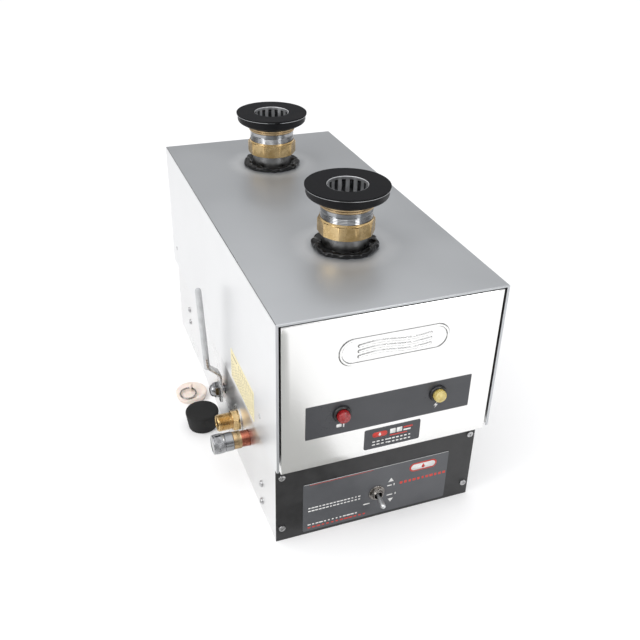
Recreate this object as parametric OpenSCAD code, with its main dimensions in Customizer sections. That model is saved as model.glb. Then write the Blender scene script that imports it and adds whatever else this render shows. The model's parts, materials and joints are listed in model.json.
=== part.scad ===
// Electric water heater for a sanitising sink. An insulated stainless tank with two sink
// ports on top stands on a base box that holds the controls and the drain valve.
// Z is up and the floor is z = 0. The front faces -Y. The origin is the middle of the
// casing's footprint, on the floor. Millimetres.

/* [Casing] */
// Width of the stainless casing
casing_w = 244; // [240:1:250]
// Depth of the casing, front to back
casing_d = 504; // [500:1:520]
// Height of the casing above the base box
casing_h = 178; // [177:1:186]
// Height of the base box below the casing
base_h = 111; // [110:1:114]
// Thickness of the sheet metal
sheet_t = 1.2; // [1:0.1:1.4]

/* [Base box] */
// Step from the casing's side in to the base box's side
side_step = 3.8; // [3.6:0.1:4.4]
// Step from the casing's front back to the control panel
front_step = 16; // [15:1:20]

/* [Sink ports] */
// Distance from the casing's front to the near port
near_port_y = 135; // [130:1:140]
// Distance from the near port to the far port
port_spacing = 262; // [256:1:268]
// Height of the port's top face above the casing
port_h = 70; // [68:1:74]
// Outside radius of the tank's port tube
port_r = 25.4; // [24.5:0.1:25.6]
// Radius of the open hole through a port
port_hole_r = 21.5; // [19:0.5:21.5]
// Radius of the port's flange
flange_r = 45.3; // [42:0.1:48]

/* [Tank] */
// Width of the tank
tank_w = 192; // [186:1:196]
// Height of the tank
tank_h = 135; // [130:1:136]
// Thickness of the tank's wall
tank_t = 1.5; // [1.2:0.1:2]
// Number of heating hairpins
element_count = 3; // [1:1:3]

/* [Side fittings] */
// Height of the side fittings' axes above the floor
fitting_z = 60; // [58:1:64]
// Distance from the casing's front to the valve lever's axis
valve_y = 231; // [228:1:236]
// Distance from the casing's front to the drain outlet
outlet_y = 164; // [162:1:168]
// Distance from the casing's front to the copper fill tube
fill_y = 120; // [116:1:124]
// Radius of the drain outlet's thread
outlet_r = 10.6; // [10:0.1:10.8]
// Radius of the copper fill tube
fill_r = 9.5; // [8:0.1:9.5]

/* [Loose stoppers] */
// Distance from the middle of the casing out to the stoppers
stopper_x = 147; // [145:1:160]
// Largest radius of the solid stopper
plug_r = 21.3; // [19:0.1:21.5]
// Height of the solid stopper
plug_h = 25; // [20:0.5:26]
// Radius of the flat stopper
disc_r = 21; // [19:0.5:21.5]

/* [Hidden] */
$fn = 64;

// Planes that the parts share
front = -casing_d / 2;
rear = casing_d / 2;
top_z = base_h + casing_h;
casing_low = base_h + 2.5;
cover_bottom = base_h - 1;
cover_top = top_z - 3.8;
cover_w = casing_w - 10;
pan_depth = 14;
panel_face = front + front_step;
panel_h = base_h - 3.5;
base_w = casing_w - 2 * side_step;
base_rear = rear - 4;
wall_x = -base_w / 2;
tray_h = base_h + 6;
deck_z = tray_h;
edge_return = 2.8;
ports = [front + near_port_y, front + near_port_y + port_spacing];

// Fastener sizes
rivet_r = 2;
screw_r = 2;
screw_gap = 0.4;
rivet_spots = [front + 58, front + 477];
rivet_z = base_h + 33;
side_screw_spots = [[front + 68, 39.5], [front + 68, 13.5], [front + 431, 64], [front + 431, 43.5]];
panel_screw_x = base_w / 2 - 6.7;
panel_screw_z = [18.5, 91];
cover_screw_x = 70;

// Lamps, measured on the front cover
lamp_x = 53.5;
lamp_z = base_h + 62;
lamp_r = 7;
bezel_r = 9.8;
lamp_hole_r = 6.5;

// Toggle switch
toggle_z = 36.5;
toggle_rest = 12;

// Tank
tank_front = front + 44;
tank_rear = rear - 36;
tank_z = deck_z + sheet_t + 14;
tank_top = tank_z + tank_h;
jacket_t = 14;
jacket_gap = 0.6;
jacket_front = tank_front - jacket_t - jacket_gap;
jacket_x = tank_w / 2 + jacket_t + jacket_gap;
element_z = tank_z + 38;
element_pitch = 24;
element_r = 4;
element_span = 30;
element_end = tank_rear - 46;
element_flange_w = 84;
element_bolt_step = 33;

// Port stack, heights above the casing's top face
tube_top = 34;
adapter_low = 19.5;
adapter_high = 47;
nut_low = 17;
nut_high = 35;
ring_high = 53;
cone_high = 67.2;
plate_t = 1.3;
fit_gap = 0.06;
port_hole_in_casing = port_r + 5.6;
adapter_r = 28.2;
tail_r = port_hole_r + 2.5;
nut_r = 31;

// Valve, lever and pipes
valve_x = -86;
valve_axis_y = front + valve_y;
ball_r = 12;
ball_bore = 7;
stem_r = 4;
lever_plate_x = wall_x - 4;
lever_jog = [26, 15.5, 38];
lever_lean = 2.6;
lever_top = 150;
outlet_axis_y = front + outlet_y;
fill_axis_y = front + fill_y;
fill_z = fitting_z + 6;
pipe_r = 10;
drain_drop_y = valve_axis_y + 52;

// Parts inside the base box
plate_y = panel_face + 118;
bulb_y = front + 110;

// Loose stoppers and the pull ring
plug_y = front + 241;
disc_y = front + 308;
disc_turn = -35;
ring_eye_z = 13.5;
ring_r = 10.5;
ring_wire_r = 1.1;
ring_droop = 7;

// Box between two corners
module box(a, b) {
  translate(a)
    cube(b - a);
}

// Cylinder of radius r that starts at p and runs a length along X, Y or Z
module rod_x(p, r, len, fn = 64) {
  translate(p)
    rotate([0, 90, 0])
      cylinder(r = r, h = len, $fn = fn);
}

module rod_y(p, r, len, fn = 64) {
  translate(p)
    rotate([-90, 0, 0])
      cylinder(r = r, h = len, $fn = fn);
}

module rod_z(p, r, len, fn = 64) {
  translate(p)
    cylinder(r = r, h = len, $fn = fn);
}

// A part repeated on both sink ports, at the casing's top face
module at_ports() {
  for (y = ports)
    translate([0, y, top_z])
      children();
}

// Ring with an outside radius, a bore and two heights
module ring(outer, bore, low, high, fn = 64) {
  difference() {
    translate([0, 0, low])
      cylinder(r = outer, h = high - low, $fn = fn);
    translate([0, 0, low - 1])
      cylinder(r = bore, h = high - low + 2);
  }
}

// Points of an oblong with round ends, and of a wave of even thickness
function oblong(half_l, r, steps = 16) = concat(
  [for (i = [0:steps]) let (a = -90 + 180 * i / steps) [half_l - r + r * cos(a), r * sin(a)]],
  [for (i = [0:steps]) let (a = 90 + 180 * i / steps) [r - half_l + r * cos(a), r * sin(a)]]);

function wave(len, rise, thick, steps = 24) = concat(
  [for (i = [0:steps]) [len * (i / steps - 0.5), rise * sin(360 * i / steps) - thick / 2]],
  [for (i = [steps:-1:0]) [len * (i / steps - 0.5), rise * sin(360 * i / steps) + thick / 2]]);

// ---- Casing ----

// Top and both sides, folded from one sheet, with narrow returns at the open ends
module outer_casing() color("silver") difference() {
  union() {
    box([-casing_w / 2, front, top_z - sheet_t], [casing_w / 2, rear, top_z]);
    for (s = [0, 1])
      mirror([s, 0, 0]) {
        box([casing_w / 2 - sheet_t, front, casing_low], [casing_w / 2, rear, top_z - sheet_t / 2]);
        for (y = [front, rear - sheet_t])
          box([casing_w / 2 - edge_return, y, casing_low],
            [casing_w / 2 - sheet_t / 2, y + sheet_t, top_z - sheet_t / 2]);
      }
    for (y = [front, rear - sheet_t])
      box([-casing_w / 2 + 1, y, top_z - 2.4], [casing_w / 2 - 1, y + sheet_t, top_z - sheet_t / 2]);
  }
  for (y = ports)
    rod_z([0, y, top_z - 5], port_hole_in_casing, 10);
  for (y = rivet_spots)
    rod_x([-casing_w / 2 - 5, y, rivet_z], rivet_r, casing_w + 10);
}

// Folded pan of the front or the back: a face with four returns
module pan(depth) {
  difference() {
    box([-cover_w / 2, 0, cover_bottom], [cover_w / 2, depth, cover_top]);
    box([-cover_w / 2 + sheet_t, sheet_t, cover_bottom + sheet_t],
      [cover_w / 2 - sheet_t, depth + 1, cover_top - sheet_t]);
  }
}

// Embossed mark: three steam waves inside a flat oval
module emboss() {
  translate([0, sheet_t / 2, cover_bottom + 134])
    rotate([90, 0, 0])
      linear_extrude(sheet_t / 2 + 0.9) {
        difference() {
          polygon(oblong(59, 15));
          polygon(oblong(56.5, 12.5));
        }
        for (z = [-6, 0, 6])
          translate([0, z])
            polygon(wave(76, 1.6, 2.2));
      }
}

module front_cover() color("gainsboro") difference() {
  union() {
    translate([0, front, 0])
      pan(pan_depth);
    translate([0, front, 0])
      emboss();
  }
  for (s = [-1, 1])
    rod_y([s * lamp_x, front - 5, lamp_z], lamp_hole_r, 10);
  for (s = [-1, 1])
    rod_z([s * cover_screw_x, front + 8, cover_bottom - 2], screw_r + screw_gap, 5);
}

// Back of the casing, spot-welded at its edges; its returns stop above the base tray's rear wall
module rear_panel() color("silver") difference() {
  translate([0, rear - 1.4, 0])
    mirror([0, 1, 0])
      pan(pan_depth);
  box([-cover_w, 0, 0], [cover_w, base_rear + 0.3, tray_h + 0.4]);
}

// Floor, sides and back of the base box, folded from one sheet
module base_tray() color("silver") difference() {
  union() {
    difference() {
      box([wall_x, panel_face + sheet_t, 0], [-wall_x, base_rear, tray_h]);
      box([wall_x + sheet_t, front, sheet_t], [-wall_x - sheet_t, base_rear - sheet_t, tray_h + 1]);
    }
    for (s = [0, 1])
      mirror([s, 0, 0]) {
        box([-wall_x - 14, panel_face + sheet_t, sheet_t / 2],
          [-wall_x - sheet_t / 2, panel_face + 2 * sheet_t, tray_h]);
        box([-wall_x - 11, panel_face + sheet_t, tray_h - sheet_t],
          [-wall_x - sheet_t / 2, base_rear - sheet_t / 2, tray_h]);
      }
  }
  rod_x([wall_x - 5, valve_axis_y, fitting_z], stem_r + 3, 10);
  rod_x([wall_x - 5, outlet_axis_y, fitting_z], outlet_r, 10);
  rod_x([wall_x - 5, fill_axis_y, fill_z], fill_r + 0.5, 10);
  rod_y([60, base_rear - 5, 60], 11.1, 10);
  for (s = [-1, 1])
    for (z = panel_screw_z)
      rod_y([s * panel_screw_x, front, z], screw_r + screw_gap, 40);
  for (p = side_screw_spots)
    rod_x([wall_x - 5, p[0], p[1]], screw_r, base_w + 10);
}

// Deck between the base box and the tank, with side flanges riveted to the casing
module deck_plate() color("lightgrey") difference() {
  union() {
    box([-casing_w / 2 + 2 * sheet_t, panel_face + 1, deck_z],
      [casing_w / 2 - 2 * sheet_t, rear - 18, deck_z + sheet_t]);
    for (s = [0, 1])
      mirror([s, 0, 0])
        box([casing_w / 2 - 2 * sheet_t, panel_face + 1, deck_z],
          [casing_w / 2 - sheet_t, rear - 18, deck_z + 34]);
    box([-cover_screw_x - 15, panel_face + 1, cover_bottom + sheet_t + 0.4],
      [cover_screw_x + 15, panel_face + 1 + sheet_t, deck_z + sheet_t / 2]);
    box([-cover_screw_x - 15, front + 3, cover_bottom + sheet_t + 0.4],
      [cover_screw_x + 15, panel_face + 1.5, cover_bottom + 2 * sheet_t + 0.4]);
  }
  for (s = [-1, 1]) {
    box([s * cover_screw_x - 2.5, front, cover_bottom], [s * cover_screw_x + 2.5, front + 11, deck_z - 1]);
  }
  rod_z([valve_x, drain_drop_y, deck_z - 5], pipe_r + 3, 10);
  rod_z([valve_x, fill_axis_y, deck_z - 5], fill_r + 2, 10);
  rod_z([60, bulb_y, deck_z - 5], 6, 10);
  for (y = rivet_spots)
    rod_x([-casing_w / 2 - 5, y, rivet_z], rivet_r, casing_w + 10);
}

module casing_rivets() color("dimgray")
  for (y = rivet_spots)
    for (s = [0, 1])
      mirror([s, 0, 0]) {
        rod_x([casing_w / 2 - 2 * sheet_t - 1, y, rivet_z], rivet_r, 2 * sheet_t + 1.5);
        rod_x([casing_w / 2, y, rivet_z], 3.2, 0.9);
        rod_x([casing_w / 2 - 2 * sheet_t - 1.5, y, rivet_z], 3, 1.5);
      }

// Pan-head screw along -X with its underside at x = 0
module pan_screw(len) {
  rod_x([-2.2, 0, 0], 3.9, 2.2);
  rod_x([-1, 0, 0], screw_r, len + 1);
}

module side_screws() color("silver")
  for (p = side_screw_spots)
    for (s = [0, 1])
      mirror([s, 0, 0])
        translate([wall_x, p[0], p[1]])
          difference() {
            pan_screw(7);
            box([-3, -2.4, -0.4], [-1.4, 2.4, 0.4]);
            box([-3, -0.4, -2.4], [-1.4, 0.4, 2.4]);
          }

module cover_screws() color("silver")
  for (s = [-1, 1])
    translate([s * cover_screw_x, front + 8, cover_bottom])
      rotate([0, -90, 0])
        pan_screw(4);

module front_band() color("dimgray") difference() {
  box([-92, front - 0.3, base_h + 37], [92, front, base_h + 77.5]);
  for (s = [-1, 1])
    rod_y([s * lamp_x, front - 5, lamp_z], lamp_hole_r, 10);
}

module front_sticker() color("black")
  box([-27, front - 0.3, base_h + 6.5], [37, front, base_h + 32.5]);

module rating_label() color("khaki")
  box([-casing_w / 2 - 0.3, front + 79, base_h + 9], [-casing_w / 2, front + 172, base_h + 48]);

// ---- Indicator lamps ----

// Places its children at a lamp's axis with +Z pointing out of the cover
module at_lamp(side) {
  translate([side * lamp_x, front, lamp_z])
    rotate([90, 0, 0])
      children();
}

module lamp_lens() {
  translate([0, 0, 1])
    cylinder(r = lamp_r, h = 6.5);
  translate([0, 0, 7])
    rotate_extrude()
      polygon([[0, 0], [lamp_r - 0.4, 0], for (a = [10:20:90]) [(lamp_r - 0.4) * cos(a), 3 * sin(a)]]);
}

module red_lamp_lens() color("red")
  at_lamp(-1)
    lamp_lens();

module yellow_lamp_lens() color("gold")
  at_lamp(1)
    lamp_lens();

module lamp_bezels() color("black")
  for (s = [-1, 1])
    at_lamp(s)
      difference() {
        union() {
          translate([0, 0, 0.3])
            cylinder(r = bezel_r, h = 2.7);
          translate([0, 0, -24])
            cylinder(r = lamp_hole_r, h = 25);
        }
        translate([0, 0, 1])
          cylinder(r = lamp_r, h = 5);
      }

module lamp_nuts() color("silver")
  for (s = [-1, 1])
    at_lamp(s)
      ring(9.5, lamp_hole_r, -sheet_t - 3, -sheet_t, 6);

// ---- Control panel ----

module control_panel() color("black") difference() {
  box([wall_x, panel_face, 0], [-wall_x, panel_face + sheet_t, panel_h]);
  rod_y([0, front, toggle_z], 6.1, 40);
  for (s = [-1, 1])
    for (z = panel_screw_z)
      rod_y([s * panel_screw_x, front, z], screw_r, 40);
}

module panel_overlay() color("dimgray") difference() {
  box([-87.5, panel_face - 0.3, 4], [87.5, panel_face, 73]);
  rod_y([0, front, toggle_z], 6.1, 40);
}

module panel_screws() color("silver")
  for (s = [-1, 1])
    for (z = panel_screw_z)
      translate([s * panel_screw_x, panel_face, z])
        rotate([0, 0, 90])
          difference() {
            pan_screw(9);
            box([-3, -2.4, -0.4], [-1.4, 2.4, 0.4]);
            box([-3, -0.4, -2.4], [-1.4, 0.4, 2.4]);
          }

module toggle_body() color("slategray") difference() {
  union() {
    box([-9, panel_face + sheet_t, toggle_z - 14], [9, panel_face + 30, toggle_z + 14]);
    rod_y([0, panel_face - 6, toggle_z], 6, 8);
    for (z = [-9, 0, 9])
      box([-3, panel_face + 29, toggle_z + z - 0.4], [3, panel_face + 38, toggle_z + z + 0.4]);
  }
  rod_y([0, panel_face - 7, toggle_z], 4.9, 15);
}

module toggle_ring_nut() color("slategray")
  translate([0, panel_face - 0.3, toggle_z])
    rotate([90, 0, 0]) {
      ring(10, 6, 0, 1);
      ring(8.6, 6, 1, 3.6, 6);
    }

// Bat lever, tilted down at rest, turning about X on a cross pin inside the bushing
module toggle_lever() color("silver")
  translate([0, panel_face, toggle_z])
    rotate([90 + toggle_rest, 0, 0]) {
      rotate_extrude()
        polygon([[0, -4], [2, -4], [2, 3], [1.8, 6], [2.9, 17], [2.9, 19.5], [2.2, 21.2], [0, 22]]);
      rod_x([-4.5, 0, 0], 1.5, 9);
    }

// ---- Tank ----

// Welded stainless tub with the element opening, the drain socket and the fill socket
module tank_shell() color("silver") difference() {
  union() {
    difference() {
      box([-tank_w / 2, tank_front, tank_z], [tank_w / 2, tank_rear, tank_top - tank_t]);
      box([-tank_w / 2 + tank_t, tank_front + tank_t, tank_z + tank_t],
        [tank_w / 2 - tank_t, tank_rear - tank_t, tank_top + 1]);
    }
    rod_z([valve_x, drain_drop_y, tank_z - 10], pipe_r + 2.5, 10.5);
    rod_z([valve_x, fill_axis_y, tank_z - 10], fill_r + 2, 10.5);
  }
  rod_z([valve_x, drain_drop_y, tank_z - 11], pipe_r, 20);
  rod_z([valve_x, fill_axis_y, tank_z - 11], fill_r, 20);
  rod_y([0, tank_front - 5, element_z + element_span / 2 - 15], 33, 12);
  rod_y([-70, tank_front - 5, tank_top - 30], 4, 12);
}

// Tank's top plate with the two port tubes welded through it
module tank_lid() color("silver") difference() {
  union() {
    box([-tank_w / 2, tank_front, tank_top - tank_t], [tank_w / 2, tank_rear, tank_top]);
    for (y = ports)
      rod_z([0, y, tank_top - 0.5], port_r, top_z + tube_top - tank_top + 0.5);
  }
  for (y = ports)
    rod_z([0, y, tank_top - 5], port_r - tank_t, 100);
}

// Two open channels that hold the tank above the deck
module tank_supports() color("silver")
  for (y = [tank_front + 30, tank_rear - 60])
    difference() {
      box([-66, y, deck_z + sheet_t], [80, y + 30, tank_z]);
      box([-67, y + 1.5, deck_z + sheet_t - 1], [81, y + 28.5, tank_z - 1.5]);
    }

// Insulation round the tank, open at the front for the element flange and the level probe
module insulation_jacket() color("lemonchiffon") difference() {
  box([-jacket_x, jacket_front, deck_z + sheet_t + 0.3],
    [jacket_x, tank_rear + jacket_t, tank_top - 0.5]);
  box([-tank_w / 2 - jacket_gap, tank_front - jacket_gap, deck_z],
    [tank_w / 2 + jacket_gap, tank_rear + jacket_gap, tank_top + 1]);
  box([-50, jacket_front - 1, element_z - 50], [95, tank_front, element_z + 80]);
  box([-82, jacket_front - 1, tank_top - 42], [-49, tank_front, tank_top - 18]);
  rod_z([valve_x, drain_drop_y, deck_z], pipe_r + 3, 20);
  rod_z([valve_x, fill_axis_y, deck_z], fill_r + 2.5, 20);
}

module insulation_lid() color("lemonchiffon") difference() {
  box([-jacket_x, jacket_front, tank_top + 0.3], [jacket_x, tank_rear + jacket_t, top_z - 5.5]);
  for (y = ports)
    rod_z([0, y, tank_top - 5], port_r + 1, 40);
}

// ---- Heating elements ----

// One hairpin in the YZ plane, with its cold pins out through the flange
module hairpin() {
  y0 = tank_front - 10;
  len = element_end - y0;
  for (s = [-1, 1])
    rod_y([0, y0, element_z + s * element_span / 2], element_r, len, 32);
  for (s = [-1, 1])
    rod_y([0, y0 - 9, element_z + s * element_span / 2], 2, 10, 24);
  translate([0, element_end, element_z])
    rotate([90, 0, 90])
      rotate([0, 0, -90])
        rotate_extrude(angle = 180, $fn = 48)
          translate([element_span / 2, 0])
            circle(r = element_r, $fn = 32);
}

module heating_elements() color("dimgray")
  for (i = [0:element_count - 1])
    translate([(i - (element_count - 1) / 2) * element_pitch, 0, 0])
      hairpin();

module element_plate(y, thick, hole_r) {
  difference() {
    box([-element_flange_w / 2, y, element_z - element_flange_w / 2],
      [element_flange_w / 2, y + thick, element_z + element_flange_w / 2]);
    children();
    for (sx = [-1, 1])
      for (sz = [-1, 1])
        rod_y([sx * element_bolt_step, y - 1, element_z + sz * element_bolt_step], hole_r, thick + 2);
  }
}

module element_flange() color("silver")
  element_plate(tank_front - 8, 6, 3)
    for (i = [0:element_count - 1])
      for (s = [-1, 1])
        rod_y([(i - (element_count - 1) / 2) * element_pitch, tank_front - 9,
          element_z + s * element_span / 2], element_r, 8, 32);

module element_gasket() color("black")
  element_plate(tank_front - 2, 2, 3)
    rod_y([0, tank_front - 3, element_z], 32, 4);

module element_bolts() color("silver")
  for (sx = [-1, 1])
    for (sz = [-1, 1])
      translate([sx * element_bolt_step, tank_front, element_z + sz * element_bolt_step]) {
        rod_y([0, -13, 0], 3, 13);
        rod_y([0, -12, 0], 5.5, 4, 6);
      }

// ---- Sink ports ----

// Black seal that closes the casing's hole around the tube: lips above and below the sheet
module port_grommets() color("black")
  at_ports()
    difference() {
      rotate_extrude()
        polygon([[port_r - 1, -4.5], [port_r + 9, -4.5], [port_r + 9, -sheet_t - 0.1],
          [port_r + 5.5, -sheet_t - 0.1], [port_r + 5.5, 0.1], [port_r + 9.5, 0.1],
          [port_r + 11.2, 1.2], [port_r + 11.4, 3], [port_r + 10.2, 5.2], [port_r + 7.5, 6],
          [port_r + 4, 5], [port_r + 1.5, 3.4], [port_r - 1, 3]]);
      translate([0, 0, -10])
        cylinder(r = port_r, h = 30);
    }

// Threaded adapter over the tube's end, with a narrower bore for the flange's tail
module port_adapters() color("silver")
  at_ports()
    difference() {
      translate([0, 0, adapter_low])
        cylinder(r = adapter_r, h = adapter_high - adapter_low);
      translate([0, 0, adapter_low - 1])
        cylinder(r = port_r, h = tube_top - adapter_low + 1.3);
      cylinder(r = tail_r, h = 80);
    }

// Ten-sided union nut: a lip under the adapter and a bore that runs on it
module union_nut(y) {
  translate([0, y, top_z])
    difference() {
      translate([0, 0, nut_low])
        rotate([0, 0, 18])
          cylinder(r = nut_r, h = nut_high - nut_low, $fn = 10);
      translate([0, 0, nut_low - 1])
        cylinder(r = port_r + fit_gap, h = 30);
      translate([0, 0, adapter_low - 0.3])
        cylinder(r = adapter_r + fit_gap, h = 30);
    }
}

module near_union_nut() color("goldenrod")
  union_nut(ports[0]);

module far_union_nut() color("goldenrod")
  union_nut(ports[1]);

module port_lock_rings() color("goldenrod")
  at_ports()
    ring(29.8, tail_r, adapter_high, ring_high);

module port_flanges() color("silver")
  at_ports()
    difference() {
      union() {
        translate([0, 0, tube_top + 0.8])
          cylinder(r = tail_r, h = cone_high - tube_top);
        translate([0, 0, cone_high])
          cylinder(r = flange_r, h = plate_t);
      }
      cylinder(r = port_hole_r, h = 90);
    }

// Thick cone-shaped rubber under the flange
module port_cone_gaskets() color("black")
  at_ports()
    difference() {
      rotate_extrude()
        polygon([[tail_r - 1, ring_high], [31, ring_high], [36, ring_high + 1.5], [43, ring_high + 5.5],
          [flange_r - 1.2, ring_high + 7.5], [flange_r - 1.2, cone_high], [tail_r - 1, cone_high]]);
      cylinder(r = tail_r, h = 90);
    }

// Flat rubber on top of the flange that seals against the sink
module port_top_gaskets() color("black")
  at_ports()
    ring(flange_r + 0.2, port_hole_r + 0.3, cone_high + plate_t, port_h);

// ---- Parts behind the covers ----

module high_limit_switch() color("black") difference() {
  rod_y([70, tank_front - 15, element_z + 30], 12, 15);
  rod_y([70, tank_front - 16, element_z + 30], 3.1, 9);
}

module reset_button() color("red")
  rod_y([70, tank_front - 19, element_z + 30], 3, 9);

module level_probe() color("white") {
  rod_y([-70, tank_front - 12, tank_top - 30], 4, 20);
  rod_y([-70, tank_front - 7, tank_top - 30], 8, 7, 6);
  rod_y([-70, tank_front - 13, tank_top - 30], 1.6, 90);
}

// Shelf in the base box that carries the electrical parts
module component_plate() color("silver") difference() {
  union() {
    box([-30, plate_y, sheet_t], [100, plate_y + 1.5, 100]);
    box([-30, plate_y, sheet_t], [100, plate_y + 20, sheet_t + 1.5]);
  }
  rod_y([70, plate_y - 5, 70], 4.5, 10);
}

// Thermostat with its spindle towards the back of the plate's front space
module thermostat() color("dimgray") difference() {
  union() {
    box([50, plate_y - 32, 50], [90, plate_y, 90]);
    rod_y([70, plate_y - 40, 70], 4.5, 9);
  }
  rod_y([70, plate_y - 41, 70], 3.1, 25);
}

module thermostat_spindle() color("silver") difference() {
  rod_y([70, plate_y - 48, 70], 3.04, 30);
  box([66, plate_y - 49, 69.5], [74, plate_y - 46, 70.5]);
}

// Sensing bulb under the tank and the fine tube down to the thermostat
module thermostat_bulb() color("peru") {
  rod_y([60, bulb_y + 6, tank_z - 4.2], 4, 90);
  rod_y([60, bulb_y, tank_z - 4.2], 1.2, 8, 24);
  translate([60, bulb_y, tank_z - 4.2])
    sphere(r = 1.2, $fn = 24);
  rod_z([60, bulb_y, 89.5], 1.2, tank_z - 4.2 - 89.5, 24);
}

module contactor() color("black") difference() {
  box([-20, plate_y - 55, 30], [25, plate_y, 90]);
  box([-8, plate_y - 56, 48], [13, plate_y - 40, 72]);
}

module contactor_armature() color("dimgray")
  box([-7.6, plate_y - 60, 48.4], [12.6, plate_y - 44, 71.6]);

module terminal_block() color("black") difference() {
  box([-28, panel_face + 58, sheet_t], [28, panel_face + 82, 22]);
  for (x = [-18, 0, 18])
    box([x - 6, panel_face + 57, 12], [x + 6, panel_face + 83, 23]);
}

module level_relay() color("steelblue") {
  box([60, panel_face + 30, sheet_t], [100, panel_face + 62, 40]);
  box([64, panel_face + 34, 40], [96, panel_face + 58, 44]);
}

// Bushing in the rear wall where the supply conduit enters
module conduit_bushing() color("dimgray")
  translate([60, base_rear, 60])
    rotate([90, 0, 0]) {
      ring(14, 8, -4, 0, 6);
      ring(11, 8, -0.5, 8);
      ring(14, 11, 1.3, 5, 6);
    }

// ---- Drain valve and pipes ----

module elbow(r, bend) {
  rotate_extrude(angle = 90, $fn = 48)
    translate([bend, 0])
      circle(r = r, $fn = 48);
}

// Down from the tank and round to the valve
module drain_pipe() color("goldenrod") difference() {
  union() {
    rod_z([valve_x, drain_drop_y, fitting_z + 14], pipe_r, tank_z - fitting_z - 14);
    translate([valve_x, drain_drop_y - 14, fitting_z + 14])
      rotate([90, 0, 90])
        rotate([0, 0, -90])
          elbow(pipe_r, 14);
    rod_y([valve_x, valve_axis_y + 22, fitting_z], pipe_r, drain_drop_y - 14 - valve_axis_y - 22);
  }
  rod_z([valve_x, drain_drop_y, fitting_z + 14], pipe_r - 1.5, 90);
  translate([valve_x, drain_drop_y - 14, fitting_z + 14])
    rotate([90, 0, 90])
      rotate([0, 0, -90])
        elbow(pipe_r - 1.5, 14);
  rod_y([valve_x, valve_axis_y, fitting_z], pipe_r - 1.5, drain_drop_y - 14 - valve_axis_y);
}

// Ball valve body with its flow along Y and its stem towards the left wall
module valve_body() color("goldenrod") difference() {
  union() {
    rod_y([valve_x, valve_axis_y - 24, fitting_z], 17, 48);
    rod_x([wall_x + 4, valve_axis_y, fitting_z], 8, valve_x - wall_x - 4);
  }
  rod_y([valve_x, valve_axis_y - 25, fitting_z], ball_bore, 50);
  translate([valve_x, valve_axis_y, fitting_z])
    sphere(r = ball_r + 0.05);
  rod_x([wall_x - 5, valve_axis_y, fitting_z], stem_r + 0.05, valve_x - wall_x + 5);
  rod_y([valve_x, valve_axis_y + 22, fitting_z], pipe_r, 10);
  rod_y([valve_x, valve_axis_y - 32, fitting_z], pipe_r, 10);
}

// Ball and stem; the ball's bore is upright while the valve is closed
module valve_ball() color("silver") {
  difference() {
    translate([valve_x, valve_axis_y, fitting_z])
      sphere(r = ball_r);
    rod_z([valve_x, valve_axis_y, fitting_z - 20], ball_bore, 40);
  }
  rod_x([wall_x - 16, valve_axis_y, fitting_z], stem_r, valve_x - ball_r + 1.5 - wall_x + 16);
}

// Flat lever with a jog, a cap nut and a sleeved grip
module drain_lever() color("lightgray") difference() {
  translate([lever_plate_x, valve_axis_y, fitting_z]) {
    rod_x([-2.5, 0, 0], 11, 2.5);
    box([-2.5, -8, -16], [0, 8, lever_jog[0] + 2]);
    translate([0, 8, lever_jog[0]])
      rotate([90, 0, 0])
        linear_extrude(16)
          polygon([[0, 0], [0, 4], [-lever_jog[1] + 1.5, lever_jog[2] - lever_jog[0]],
            [-lever_jog[1] - 3, lever_jog[2] - lever_jog[0]], [-3, 0]]);
    translate([-lever_jog[1] - 1.2, 0, lever_jog[2] - 3])
      rotate([0, -lever_lean, 0]) {
        rod_z([0, 0, 0], 4, lever_top - lever_jog[2] - 1);
        translate([0, 0, lever_top - lever_jog[2] - 1])
          sphere(r = 4);
      }
    rod_x([-15, 0, 0], 10.6, 12.6, 6);
  }
  rod_x([wall_x - 16, valve_axis_y, fitting_z], stem_r, 30);
}

// Elbow from the valve out through the left wall to the threaded outlet
module drain_outlet() color("goldenrod") difference() {
  union() {
    rod_y([valve_x, outlet_axis_y + 14, fitting_z], pipe_r, valve_axis_y - 22 - outlet_axis_y - 14);
    translate([valve_x - 14, outlet_axis_y + 14, fitting_z])
      rotate([0, 0, -90])
        elbow(pipe_r, 14);
    rod_x([wall_x - 27, outlet_axis_y, fitting_z], outlet_r, valve_x - 14 - wall_x + 27);
    rod_x([wall_x - 9, outlet_axis_y, fitting_z], 13.5, 7.5, 6);
    rod_x([wall_x - 1.5, outlet_axis_y, fitting_z], 19, 1.5);
  }
  rod_y([valve_x, outlet_axis_y + 14, fitting_z], pipe_r - 1.5, 90);
  translate([valve_x - 14, outlet_axis_y + 14, fitting_z])
    rotate([0, 0, -90])
      elbow(pipe_r - 1.5, 14);
  rod_x([wall_x - 30, outlet_axis_y, fitting_z], pipe_r - 2, valve_x - 14 - wall_x + 30);
}

// Copper tube from the tank's bottom out through the left wall
module fill_tube() color("peru") difference() {
  union() {
    rod_z([valve_x, fill_axis_y, fill_z + 14], fill_r, tank_z - fill_z - 14);
    translate([valve_x - 14, fill_axis_y, fill_z + 14])
      rotate([90, 0, 0])
        rotate([0, 0, -90])
          elbow(fill_r, 14);
    rod_x([wall_x - 32, fill_axis_y, fill_z], fill_r, valve_x - 14 - wall_x + 32);
    rod_x([wall_x - 19, fill_axis_y, fill_z], fill_r + 0.8, 9);
  }
  rod_z([valve_x, fill_axis_y, fill_z + 14], fill_r - 1.2, 90);
  translate([valve_x - 14, fill_axis_y, fill_z + 14])
    rotate([90, 0, 0])
      rotate([0, 0, -90])
        elbow(fill_r - 1.2, 14);
  rod_x([wall_x - 33, fill_axis_y, fill_z], fill_r - 1.2, valve_x - 14 - wall_x + 33);
}

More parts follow.
